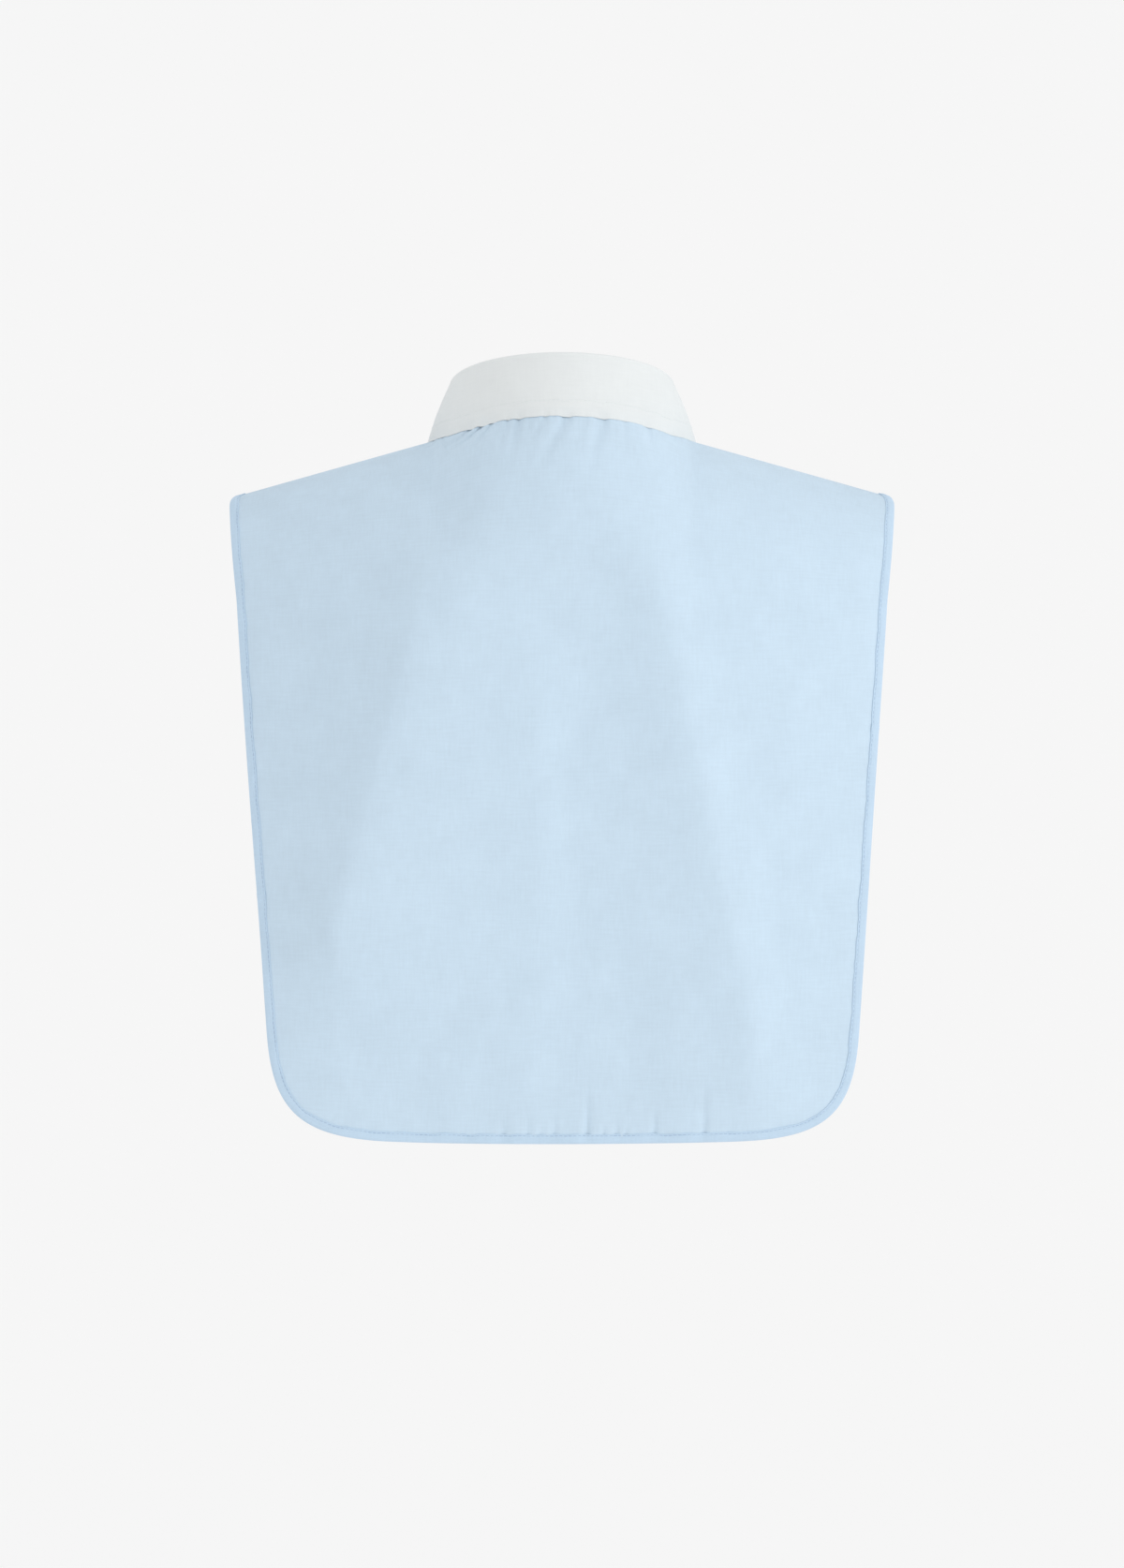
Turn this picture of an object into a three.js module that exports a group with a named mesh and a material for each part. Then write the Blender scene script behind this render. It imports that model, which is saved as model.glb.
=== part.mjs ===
// Tuck-in collar: a buttoned shirt collar on a short bib with a back panel and two front panels.
// Millimetres. +Z is up, the wearer faces -Y, the wearer's left is +X.
// The origin is the middle of the neck seam, at the height where the seam crosses the shoulders.

import * as THREE from 'three';
import { mergeVertices } from 'three/addons/utils/BufferGeometryUtils.js';

// Cloth and clearances
const PANEL_THICKNESS = 1.0;
const STRIP_THICKNESS = 1.2;
const STAND_THICKNESS = 1.8;
const FALL_THICKNESS = 1.6;
const GAP = 0.3;
const SHOULDER_SEAM_INSET = 0.3;

// Neck seam: an ellipse in plan, deeper in front
const NECK_HALF_WIDTH = 63;
const NECK_BACK_DEPTH = 58;
const NECK_FRONT_DEPTH = 61;

// Shoulders: a straight ridge that slopes down and out from the neck
const RIDGE_START = 72.4;
const RIDGE_START_HEIGHT = -2.85;
const RIDGE_SLOPE = 0.282;
const NAPE_ROUNDING = 10;

// Body: each side leaves the ridge level, curves over it within its drop and hangs down.
// Towards the neck the body rises above the ridge's straight line, the back more than the front.
// Low down it leans in, and the sides of the back spread out.
const BACK = { sign: 1, depth: 92, sideLoss: 42, drop: 105, rise: 22.7, lean: 12, spread: 20 };
const FRONT = { sign: -1, depth: 100, sideLoss: 34, drop: 140, rise: -4.5, lean: 7, spread: 0 };
const RISE_HALF_WIDTH = 70;
const RISE_FLATNESS = 3;
const RISE_FADE = 1.5;
const SIDE_REFERENCE = 165;
const LEAN_START = -130;
const LEAN_RUN = 250;
const SPREAD_START = -150;
const SPREAD_END = -380;

// Outline seen from the back: the outer edge of the binding
const SIDE_AT_ORIGIN = 180.33;
const SIDE_TAPER = 0.0694;
const FLARE = 1.4;
const FLARE_HEIGHT = -36;
const FLARE_RUN = 52;
const SHOULDER_CORNER = 5.3;
const HEM_HEIGHT = -377.9;
const HEM_RISE = 1.2;
const HEM_RISE_REFERENCE = 100;
const CORNER_TOP = -320;
const CORNER_TOP_PULL = 45;
const CORNER_END = 90;
const CORNER_END_PULL = 50;

// Binding: a folded strip that takes the panels' edge in its slot
const BINDING_WIDTH = 5.2;
const BINDING_LEAF = 0.8;
const BINDING_CLEARANCE = 0.3;
const BINDING_EDGE_SHARE = 0.6;
const EDGE_INSET = BINDING_LEAF + BINDING_CLEARANCE;

// Front closing: two strips that lie over each other on the centre line
const PLACKET_HALF_WIDTH = 12;
const PLACKET_SEAM_GAP = 0.7;
const BUTTON_RADIUS = 5;
const BUTTON_THICKNESS = 2.2;
const BUTTON_HOLE_RADIUS = 0.8;
const BUTTON_HOLE_SPREAD = 1.35;
const FIRST_BUTTON_HEIGHT = -62;
const BUTTON_PITCH = 68;
const BUTTON_COUNT = 5;
const COLLAR_BUTTON_SHARE = 0.52;

// Collar: the stand leans in to the fold, and the fall turns down outside it
const FOLD_HALF_WIDTH = 57.2;
const FOLD_BACK_DEPTH = 53;
const FOLD_FRONT_DEPTH = 55;
const FOLD_SIDE_HEIGHT = 29.5;
const FOLD_TILT = 13.7;
const FOLD_THROAT_DROP = 9.8;
const ROLL_RADIUS = 1.4;
const ROLL_ANGLES = [180, 120, 60, 0];
const LIP_DEPTH = 4;
const STAND_OVERLAP_TURN = 10;
const STAND_CROSSING_START = 150;
const STAND_CROSSING_END = 178;
const STAND_LIFT_START = 92;
const STAND_LIFT_END = 120;
const STAND_END_SHARE = 0.45;
const STAND_END_ROUNDING = 16;
const STAND_STEPS = 64;
const FALL_END_TURN = 174;
const FALL_STEPS = 40;
const FALL_BULGE = 1.2;

// Mesh steps and the short steps that directions and places are worked out with
const BUTTON_SIDES = 20;
const HOLE_SIDES = 6;
const NECK_COLUMNS = 14;
const MIDDLE_COLUMNS = 3;
const CORNER_COLUMNS = 8;
const BACK_UPPER_ROWS = [0, 0.06, 0.13, 0.22, 0.34, 0.5, 0.74, 1];
const FRONT_UPPER_ROWS = [0, 0.07, 0.15, 0.25, 0.37, 0.52, 0.7, 1];
const BACK_LOWER_ROWS = 10;
const FRONT_LOWER_ROWS = 4;
const NORMAL_STEP = 0.4;
const TURN_STEP = 0.01;
const PLACE_ROUNDS = 8;
const MERGE_TOLERANCE = 1e-4;

// The free edge of the fall, from the nape to the collar's point, against the turn of the fold
const FALL_EDGE = [
  { turn: 0, across: 0, back: 66.5, up: 11.4 },
  { turn: 30, across: 35, back: 56, up: 8.7 },
  { turn: 60, across: 60, back: 33, up: 1.9 },
  { turn: 90, across: 71.8, back: 0, up: -0.4 },
  { turn: 115, across: 74, back: -28, up: -6 },
  { turn: 140, across: 66, back: -54, up: -19.5 },
  { turn: 160, across: 53, back: -73, up: -38 },
  { turn: 174, across: 40, back: -86, up: -55 },
];

// Soft folds of the back panel: a line from its upper to its lower end; a negative height is a hollow
const BACK_FOLDS = [
  { fromAcross: -40, fromUp: -35, toAcross: -100, toUp: -320, leftWidth: 20, rightWidth: 17, height: 5 },
  { fromAcross: -14, fromUp: -95, toAcross: -8, toUp: -330, leftWidth: 13, rightWidth: 25, height: -2.8 },
  { fromAcross: 13, fromUp: -110, toAcross: 11, toUp: -330, leftWidth: 9, rightWidth: 10, height: 1 },
  { fromAcross: 70, fromUp: -100, toAcross: 131, toUp: -300, leftWidth: 34, rightWidth: 55, height: 6.5 },
  { fromAcross: -30, fromUp: -250, toAcross: -38, toUp: -335, leftWidth: 14, rightWidth: 20, height: -1.4 },
];
const FOLD_FADE_ABOVE = 15;
const FOLD_FADE_BELOW = 60;
const FOLD_END_FADE = 70;

// Small gathers of the back panel below the neck seam
const NECK_GATHERS = [
  { across: -50, width: 4, height: 0.7 },
  { across: -35, width: 5, height: -0.8 },
  { across: -19, width: 5, height: 0.9 },
  { across: -5, width: 4.5, height: -0.9 },
  { across: 9, width: 5, height: 0.9 },
  { across: 24, width: 5, height: -0.8 },
  { across: 40, width: 5, height: 0.8 },
];
const GATHER_PEAK = 12;
const GATHER_END = 50;

const WHITE = 0xe6eaea;
const BLUE = 0xcbe0ef;
const BINDING_BLUE = 0xc4dcf2;
const BUTTON_WHITE = 0xf2f1ec;
const CLOTH_ROUGHNESS = 0.9;
const BUTTON_ROUGHNESS = 0.35;

function material(color, roughness) {
  return new THREE.MeshStandardMaterial({ color, roughness, metalness: 0 });
}

function smoothStep(from, to, value) {
  const t = THREE.MathUtils.clamp((value - from) / (to - from), 0, 1);
  return t * t * (3 - 2 * t);
}

// Depth of the body at a distance from its middle, and the neck seam's reach into it
function bodyDepth(side, x) {
  return side.depth - side.sideLoss * (x / SIDE_REFERENCE) ** 2;
}

function neckReach(side, x) {
  const depth = side === BACK ? NECK_BACK_DEPTH : NECK_FRONT_DEPTH;
  const t = Math.min(Math.abs(x) / NECK_HALF_WIDTH, 1);
  return depth * Math.sqrt(1 - t * t);
}

// Level of the body on its middle plane: the shoulder ridge, with the rise towards the neck
function riseShare(x, halfWidth) {
  const t = Math.min(Math.abs(x) / halfWidth, 1);
  return (1 - t ** RISE_FLATNESS) ** RISE_FADE;
}

function ridgeHeight(side, x) {
  const straight = RIDGE_START_HEIGHT - RIDGE_SLOPE * (Math.hypot(x, NAPE_ROUNDING) - RIDGE_START);
  const neckRise = BACK.rise * riseShare(x, RISE_HALF_WIDTH);
  return straight + neckRise + (side.rise - BACK.rise) * riseShare(x, NECK_HALF_WIDTH);
}

// Folds and gathers that push the back panel outwards
function foldRelief(x, z) {
  let relief = 0;
  for (const fold of BACK_FOLDS) {
    const along = THREE.MathUtils.clamp((fold.fromUp - z) / (fold.fromUp - fold.toUp), 0, 1);
    const middle = fold.fromAcross + (fold.toAcross - fold.fromAcross) * along;
    const start = smoothStep(fold.fromUp + FOLD_FADE_ABOVE, fold.fromUp - FOLD_FADE_BELOW, z);
    const fade = start * smoothStep(fold.toUp - FOLD_END_FADE, fold.toUp, z);
    const width = x > middle ? fold.leftWidth : fold.rightWidth;
    relief += fold.height * fade * Math.exp(-(((x - middle) / width) ** 2));
  }
  return relief;
}

function gatherRelief(x, travel) {
  const rise = smoothStep(0, GATHER_PEAK, travel);
  const fade = 1 - smoothStep(GATHER_PEAK, GATHER_END, travel);
  let relief = 0;
  for (const gather of NECK_GATHERS) {
    relief += gather.height * Math.exp(-(((x - gather.across) / gather.width) ** 2));
  }
  return relief * rise * fade;
}

// The cloth's middle surface. Travel is the way down the cloth from the ridge line.
function quarterTravel(side) {
  return (side.drop * Math.PI) / 2;
}

function heightAt(side, x, travel) {
  const top = ridgeHeight(side, x);
  const quarter = quarterTravel(side);
  if (travel >= quarter) return top - side.drop - (travel - quarter);
  return top - side.drop * (1 - Math.cos(travel / side.drop));
}

function travelTo(side, x, z) {
  const drop = ridgeHeight(side, x) - z;
  if (drop >= side.drop) return quarterTravel(side) + drop - side.drop;
  return side.drop * Math.acos(1 - Math.max(drop, 0) / side.drop);
}

function firstTravel(side, x) {
  const seam = side.drop * Math.asin(neckReach(side, x) / bodyDepth(side, x));
  return Math.max(seam, SHOULDER_SEAM_INSET);
}

function clothPoint(side, x, travel) {
  const z = heightAt(side, x, travel);
  const turn = Math.min(travel / side.drop, Math.PI / 2);
  const lean = side.lean * (Math.min(z - LEAN_START, 0) / LEAN_RUN) ** 2;
  const below = travel - firstTravel(side, x);
  const relief = side === BACK ? foldRelief(x, z) * Math.sin(turn) + gatherRelief(x, below) : 0;
  const spread = side.spread * (x / SIDE_REFERENCE) ** 2 * smoothStep(SPREAD_START, SPREAD_END, z);
  const reach = bodyDepth(side, x) * Math.sin(turn) - lean + spread + relief;
  return new THREE.Vector3(x, side.sign * reach, z);
}

function clothNormal(side, x, travel) {
  const point = clothPoint(side, x, travel);
  const hand = Math.sign(x) || 1;
  const alongX = point.clone().sub(clothPoint(side, x - hand * NORMAL_STEP, travel)).multiplyScalar(hand);
  const alongTravel = clothPoint(side, x, travel + NORMAL_STEP).sub(point);
  return alongX.cross(alongTravel).multiplyScalar(side.sign).normalize();
}

// Outline of the binding's outer edge
function sideAt(z, ridge) {
  const t = (z - FLARE_HEIGHT) / FLARE_RUN;
  const flare = FLARE * Math.max(0, 1 - t * t);
  const below = THREE.MathUtils.clamp((ridge - z) / SHOULDER_CORNER, 0, 1);
  const rounding = SHOULDER_CORNER * (1 - Math.sqrt(1 - (1 - below) ** 2));
  return SIDE_AT_ORIGIN + SIDE_TAPER * z + flare - rounding;
}

function hemAt(x) {
  return HEM_HEIGHT + HEM_RISE * (x / HEM_RISE_REFERENCE) ** 2;
}

function cornerCurve(inset) {
  const down = new THREE.Vector2(-SIDE_TAPER, -1).normalize();
  const along = new THREE.Vector2(1, (2 * HEM_RISE * CORNER_END) / HEM_RISE_REFERENCE ** 2).normalize();
  const start = new THREE.Vector2(SIDE_AT_ORIGIN + SIDE_TAPER * CORNER_TOP - inset, CORNER_TOP);
  const end = new THREE.Vector2(CORNER_END, hemAt(CORNER_END) + inset);
  const pullStart = start.clone().addScaledVector(down, CORNER_TOP_PULL - inset);
  const pullEnd = end.clone().addScaledVector(along, CORNER_END_PULL - inset);
  return new THREE.CubicBezierCurve(start, pullStart, pullEnd, end);
}

// Columns of a panel, from the inner edge to the side: each runs down the cloth to its foot on the outline
function panelColumns(innerEdge) {
  const columns = [];
  const firstTurn = Math.asin(innerEdge / NECK_HALF_WIDTH);
  const neckSteps = Math.round(NECK_COLUMNS * (1 - (2 * firstTurn) / Math.PI));
  const corner = cornerCurve(EDGE_INSET);
  const width = (z) => sideAt(z, Infinity) - EDGE_INSET;
  const neckShare = NECK_HALF_WIDTH / width(ridgeHeight(BACK, NECK_HALF_WIDTH));
  const cornerShare = CORNER_END / width(hemAt(CORNER_END));
  for (let i = 0; i <= neckSteps; i++) {
    const turn = firstTurn + ((Math.PI / 2 - firstTurn) * i) / neckSteps;
    const share = neckShare * Math.sin(turn);
    const foot = share * width(HEM_HEIGHT);
    columns.push({ share, foot: new THREE.Vector2(foot, hemAt(foot) + EDGE_INSET) });
  }
  for (let i = 1; i < MIDDLE_COLUMNS; i++) {
    const share = neckShare + ((cornerShare - neckShare) * i) / MIDDLE_COLUMNS;
    const foot = share * width(HEM_HEIGHT);
    columns.push({ share, foot: new THREE.Vector2(foot, hemAt(foot) + EDGE_INSET) });
  }
  for (let i = CORNER_COLUMNS; i >= 0; i--) {
    const foot = corner.getPoint(i / CORNER_COLUMNS);
    columns.push({ share: foot.x / width(foot.y), foot });
  }
  return columns;
}

// Position of a column at a height
function columnAcross(column, z, ridge) {
  return column.share * (sideAt(z, ridge) - EDGE_INSET);
}

// Row travels: shares of the way round the shoulder from the column's start, then even steps to the foot
function rowTravels(side, x, footTravel) {
  const upper = side === BACK ? BACK_UPPER_ROWS : FRONT_UPPER_ROWS;
  const lowerCount = side === BACK ? BACK_LOWER_ROWS : FRONT_LOWER_ROWS;
  const first = firstTravel(side, x);
  const last = quarterTravel(side);
  const travels = upper.map((share) => first + (last - first) * share);
  for (let i = 1; i <= lowerCount; i++) travels.push(last + ((footTravel - last) * i) / lowerCount);
  return travels;
}

// The column's points from the top line to the foot, as places on the cloth
function columnPlaces(side, hand, column) {
  let top = columnAcross(column, 0, Infinity);
  for (let i = 0; i < PLACE_ROUNDS; i++) {
    const height = heightAt(side, top, firstTravel(side, top));
    top = columnAcross(column, height, ridgeHeight(side, top));
  }
  const ridge = ridgeHeight(side, top);
  const travels = rowTravels(side, top, travelTo(side, column.foot.x, column.foot.y));
  return travels.map((travel, row) => {
    let x = top;
    for (let i = 0; i < PLACE_ROUNDS && row > 0; i++) {
      x = columnAcross(column, heightAt(side, x, travel), ridge);
    }
    if (row === travels.length - 1) x = column.foot.x;
    return { side, x: hand * x, travel };
  });
}

// Closed bodies from grids and sections
function meshFromParts(positions, triangles) {
  const geometry = new THREE.BufferGeometry();
  const numbers = positions.flatMap((point) => point.toArray());
  geometry.setAttribute('position', new THREE.Float32BufferAttribute(numbers, 3));
  geometry.setIndex(triangles.flat());
  return mergeVertices(geometry, MERGE_TOLERANCE);
}

function facingOut(geometry) {
  const position = geometry.getAttribute('position');
  const index = geometry.getIndex();
  const corner = (i) => new THREE.Vector3().fromBufferAttribute(position, index.getX(i));
  let volume = 0;
  for (let i = 0; i < index.count; i += 3) {
    volume += corner(i).dot(corner(i + 1).cross(corner(i + 2)));
  }
  if (volume > 0) return geometry;
  for (let i = 0; i < index.count; i += 3) {
    const first = index.getX(i);
    index.setX(i, index.getX(i + 1));
    index.setX(i + 1, first);
  }
  return geometry;
}

// A sheet between two offsets from the cloth's middle surface, over a grid of places
function sheetBody(grid, low, high) {
  const positions = [];
  const columns = grid.length;
  const rows = grid[0].length;
  for (const offset of [low, high]) {
    for (const column of grid) {
      for (const place of column) {
        const point = clothPoint(place.side, place.x, place.travel);
        positions.push(point.addScaledVector(clothNormal(place.side, place.x, place.travel), offset));
      }
    }
  }
  const at = (layer, column, row) => (layer * columns + column) * rows + row;
  const triangles = [];
  const quad = (a, b, c, d) => triangles.push([a, b, c], [a, c, d]);
  for (let c = 0; c < columns - 1; c++) {
    for (let r = 0; r < rows - 1; r++) {
      quad(at(0, c, r), at(0, c + 1, r), at(0, c + 1, r + 1), at(0, c, r + 1));
      quad(at(1, c, r), at(1, c, r + 1), at(1, c + 1, r + 1), at(1, c + 1, r));
    }
    quad(at(0, c, 0), at(1, c, 0), at(1, c + 1, 0), at(0, c + 1, 0));
    quad(at(0, c + 1, rows - 1), at(1, c + 1, rows - 1), at(1, c, rows - 1), at(0, c, rows - 1));
  }
  for (let r = 0; r < rows - 1; r++) {
    quad(at(0, 0, r + 1), at(1, 0, r + 1), at(1, 0, r), at(0, 0, r));
    quad(at(0, columns - 1, r), at(1, columns - 1, r), at(1, columns - 1, r + 1), at(0, columns - 1, r + 1));
  }
  return facingOut(meshFromParts(positions, triangles));
}

// A strip through a list of sections, each a ring with the same number of points
function sweptBody(sections) {
  const positions = sections.flat();
  const count = sections[0].length;
  const triangles = [];
  for (let s = 0; s < sections.length - 1; s++) {
    for (let i = 0; i < count; i++) {
      const next = (i + 1) % count;
      const a = s * count + i;
      const b = s * count + next;
      triangles.push([a, b, b + count], [a, b + count, a + count]);
    }
  }
  const capShape = (section) => {
    const origin = section[0];
    const axisU = section[1].clone().sub(origin).normalize();
    const normal = new THREE.Vector3();
    section.forEach((point, i) => normal.add(point.clone().cross(section[(i + 1) % count])));
    const axisV = normal.normalize().cross(axisU).normalize();
    const flat = section.map((point) => {
      const offset = point.clone().sub(origin);
      return new THREE.Vector2(offset.dot(axisU), offset.dot(axisV));
    });
    return THREE.ShapeUtils.triangulateShape(flat, []);
  };
  const last = (sections.length - 1) * count;
  const endShape = capShape(sections[sections.length - 1]);
  for (const [a, b, c] of capShape(sections[0])) triangles.push([c, b, a]);
  for (const [a, b, c] of endShape) triangles.push([last + a, last + b, last + c]);
  return facingOut(meshFromParts(positions, triangles));
}

// Panels
function backGrid() {
  const columns = panelColumns(0);
  const places = (hand) => (column) => columnPlaces(BACK, hand, column);
  return [...columns.slice(1).reverse().map(places(-1)), ...columns.map(places(1))];
}

function frontGrid(hand) {
  const columns = panelColumns(PLACKET_HALF_WIDTH + PLACKET_SEAM_GAP);
  const grid = columns.map((column) => columnPlaces(FRONT, hand, column));
  for (const place of grid[0]) place.x = hand * (PLACKET_HALF_WIDTH + PLACKET_SEAM_GAP);
  return grid;
}

function panel(grid) {
  return sheetBody(grid, -PANEL_THICKNESS / 2, PANEL_THICKNESS / 2);
}

// Front closing strips: the wearer's right one lies over the left one
function stripPlaces(x) {
  const travels = rowTravels(FRONT, x, travelTo(FRONT, x, HEM_HEIGHT));
  return travels.map((travel) => ({ side: FRONT, x, travel }));
}

function closingStrip(low, high) {
  const grid = [-PLACKET_HALF_WIDTH, 0, PLACKET_HALF_WIDTH].map(stripPlaces);
  return sheetBody(grid, low, high);
}

// A seat on the upper strip's flat stretch between two rows, with the direction straight out of it
function stripSeat(height) {
  const points = stripPlaces(0).map((place) => {
    const outward = clothNormal(place.side, place.x, place.travel);
    return clothPoint(place.side, place.x, place.travel).addScaledVector(outward, STRIP_THICKNESS + GAP / 2);
  });
  const below = points.findIndex((point) => point.z < height);
  const [upper, lower] = [points[below - 1], points[below]];
  const seat = upper.clone().lerp(lower, (upper.z - height) / (upper.z - lower.z));
  const outward = lower.clone().sub(upper).cross(new THREE.Vector3(1, 0, 0)).normalize();
  return { seat, outward };
}

// Binding: runs from the front closing round both fronts' edges, over the shoulders and round the back
function bindingSection(point, normal, inward) {
  const half = PANEL_THICKNESS / 2 + BINDING_CLEARANCE + BINDING_LEAF;
  const slot = PANEL_THICKNESS / 2 + BINDING_CLEARANCE;
  const profile = [
    { inwards: BINDING_WIDTH, out: half },
    { inwards: BINDING_LEAF * BINDING_EDGE_SHARE, out: half },
    { inwards: 0, out: 0 },
    { inwards: BINDING_LEAF * BINDING_EDGE_SHARE, out: -half },
    { inwards: BINDING_WIDTH, out: -half },
    { inwards: BINDING_WIDTH, out: -slot },
    { inwards: BINDING_LEAF, out: -slot },
    { inwards: BINDING_LEAF, out: slot },
    { inwards: BINDING_WIDTH, out: slot },
  ];
  return profile.map(({ inwards, out }) =>
    point.clone().addScaledVector(inward, inwards - EDGE_INSET).addScaledVector(normal, out));
}

function bindingPath(back, frontRight, frontLeft) {
  const foot = (column) => column[column.length - 1];
  const side = (column) => column.slice(0, -1);
  const rightFeet = frontRight.map(foot);
  const leftFeet = frontLeft.map(foot);
  return [
    ...rightFeet,
    ...side(frontRight[frontRight.length - 1]).reverse(),
    ...side(back[0]).slice(1),
    ...back.map(foot),
    ...side(back[back.length - 1]).reverse(),
    ...side(frontLeft[frontLeft.length - 1]).slice(1),
    ...leftFeet.reverse(),
  ];
}

function binding(back, frontRight, frontLeft) {
  const path = bindingPath(back, frontRight, frontLeft);
  const points = path.map((place) => clothPoint(place.side, place.x, place.travel));
  const sections = path.map((place, i) => {
    const before = points[Math.max(i - 1, 0)];
    const after = points[Math.min(i + 1, points.length - 1)];
    const along = after.clone().sub(before).normalize();
    const normal = clothNormal(place.side, place.x, place.travel);
    normal.addScaledVector(along, -normal.dot(along)).normalize();
    const inward = along.clone().cross(normal).normalize();
    return bindingSection(points[i], normal, inward);
  });
  return sweptBody(sections);
}

// Collar
function ringPoint(turn, halfWidth, backDepth, frontDepth) {
  const across = Math.sin(turn);
  const back = Math.cos(turn);
  const depth = back > 0 ? backDepth : frontDepth;
  const out = 1 / Math.hypot(across / halfWidth, back / depth);
  return new THREE.Vector3(across * out, back * out, 0);
}

function seamPoint(turn) {
  const point = ringPoint(turn, NECK_HALF_WIDTH, NECK_BACK_DEPTH, NECK_FRONT_DEPTH);
  const side = point.y > 0 ? BACK : FRONT;
  const travel = side.drop * Math.asin(Math.abs(point.y) / bodyDepth(side, point.x));
  point.z = heightAt(side, point.x, travel);
  return point;
}

function foldPoint(turn) {
  const point = ringPoint(turn, FOLD_HALF_WIDTH, FOLD_BACK_DEPTH, FOLD_FRONT_DEPTH);
  const t = point.y > 0 ? point.y / FOLD_BACK_DEPTH : point.y / FOLD_FRONT_DEPTH;
  point.z = FOLD_SIDE_HEIGHT + FOLD_TILT * t - (t < 0 ? FOLD_THROAT_DROP * t * t : 0);
  return point;
}

function ringOutward(turn) {
  const along = foldPoint(turn + TURN_STEP).sub(foldPoint(turn - TURN_STEP));
  return new THREE.Vector3(-along.y, along.x, 0).normalize();
}

// Foot and top of the stand at a turn: its ends cross in front, the wearer's right one outside
function standSection(turn) {
  const degrees = THREE.MathUtils.radToDeg(Math.abs(turn));
  const outward = ringOutward(turn);
  const crossing = smoothStep(STAND_CROSSING_START, STAND_CROSSING_END, degrees);
  const shift = (-Math.sign(turn) * crossing * (STAND_THICKNESS + GAP)) / 2;
  const lift = smoothStep(STAND_LIFT_START, STAND_LIFT_END, degrees);
  const overStrips = lift * (STRIP_THICKNESS + GAP / 2 - PANEL_THICKNESS / 2);
  const foot = seamPoint(turn).addScaledVector(outward, shift);
  foot.z += PANEL_THICKNESS / 2 + GAP + overStrips;
  const top = foldPoint(turn).addScaledVector(outward, shift);
  top.z -= LIP_DEPTH + GAP;
  const endTurn = 180 + STAND_OVERLAP_TURN;
  const fromEnd = THREE.MathUtils.clamp((endTurn - degrees) / STAND_END_ROUNDING, 0, 1);
  const share = STAND_END_SHARE + (1 - STAND_END_SHARE) * Math.sqrt(1 - (1 - fromEnd) ** 2);
  top.lerpVectors(foot, top, share);
  const half = STAND_THICKNESS / 2;
  return [
    foot.clone().addScaledVector(outward, -half),
    foot.clone().addScaledVector(outward, half),
    top.clone().addScaledVector(outward, half),
    top.clone().addScaledVector(outward, -half),
  ];
}

function collarStand() {
  const end = THREE.MathUtils.degToRad(180 + STAND_OVERLAP_TURN);
  const sections = [];
  for (let i = 0; i <= STAND_STEPS; i++) {
    sections.push(standSection(-end + (2 * end * i) / STAND_STEPS));
  }
  return sweptBody(sections);
}

function fallEdgeCurve() {
  const mirror = (row) => ({ ...row, turn: -row.turn, across: -row.across });
  const rows = [...FALL_EDGE.slice(1).reverse().map(mirror), ...FALL_EDGE];
  const points = rows.map((row) => new THREE.Vector3(row.across, row.back, row.up));
  const curve = new THREE.CatmullRomCurve3(points);
  return (turn) => {
    const degrees = THREE.MathUtils.radToDeg(turn);
    let i = rows.findIndex((row) => row.turn >= degrees);
    i = THREE.MathUtils.clamp(i < 0 ? rows.length - 1 : i, 1, rows.length - 1);
    const share = (degrees - rows[i - 1].turn) / (rows[i].turn - rows[i - 1].turn);
    return curve.getPoint(THREE.MathUtils.clamp((i - 1 + share) / (rows.length - 1), 0, 1));
  };
}

// Middle line of the fall's section: up the lip, round the roll and down the leaf to the free edge
function fallLine(turn, edgeAt) {
  const outward = ringOutward(turn);
  const top = foldPoint(turn);
  const rollHeight = top.z - FALL_THICKNESS / 2 - ROLL_RADIUS;
  const line = [top.clone().setZ(top.z - LIP_DEPTH)];
  for (const angle of ROLL_ANGLES) {
    const radians = THREE.MathUtils.degToRad(angle);
    const point = top.clone().addScaledVector(outward, ROLL_RADIUS * (1 + Math.cos(radians)));
    point.z = rollHeight + ROLL_RADIUS * Math.sin(radians);
    line.push(point);
  }
  const leafTop = line[line.length - 1];
  const edge = edgeAt(turn);
  const middle = leafTop.clone().lerp(edge, 0.5).addScaledVector(outward, FALL_BULGE);
  line.push(middle, edge);
  return line;
}

function offsetRing(line, along, half) {
  const outer = [];
  const inner = [];
  line.forEach((point, i) => {
    const before = line[Math.max(i - 1, 0)];
    const after = line[Math.min(i + 1, line.length - 1)];
    const direction = after.clone().sub(before).normalize();
    const normal = direction.clone().cross(along).normalize();
    outer.push(point.clone().addScaledVector(normal, half));
    inner.push(point.clone().addScaledVector(normal, -half));
  });
  return [...outer, ...inner.reverse()];
}

function collarFall() {
  const end = THREE.MathUtils.degToRad(FALL_END_TURN);
  const edgeAt = fallEdgeCurve();
  const sections = [];
  for (let i = 0; i <= FALL_STEPS; i++) {
    const turn = -end + (2 * end * i) / FALL_STEPS;
    const line = fallLine(turn, edgeAt);
    const outward = ringOutward(turn);
    const along = new THREE.Vector3(-outward.y, outward.x, 0);
    sections.push(offsetRing(line, along, FALL_THICKNESS / 2));
  }
  return sweptBody(sections);
}

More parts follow.
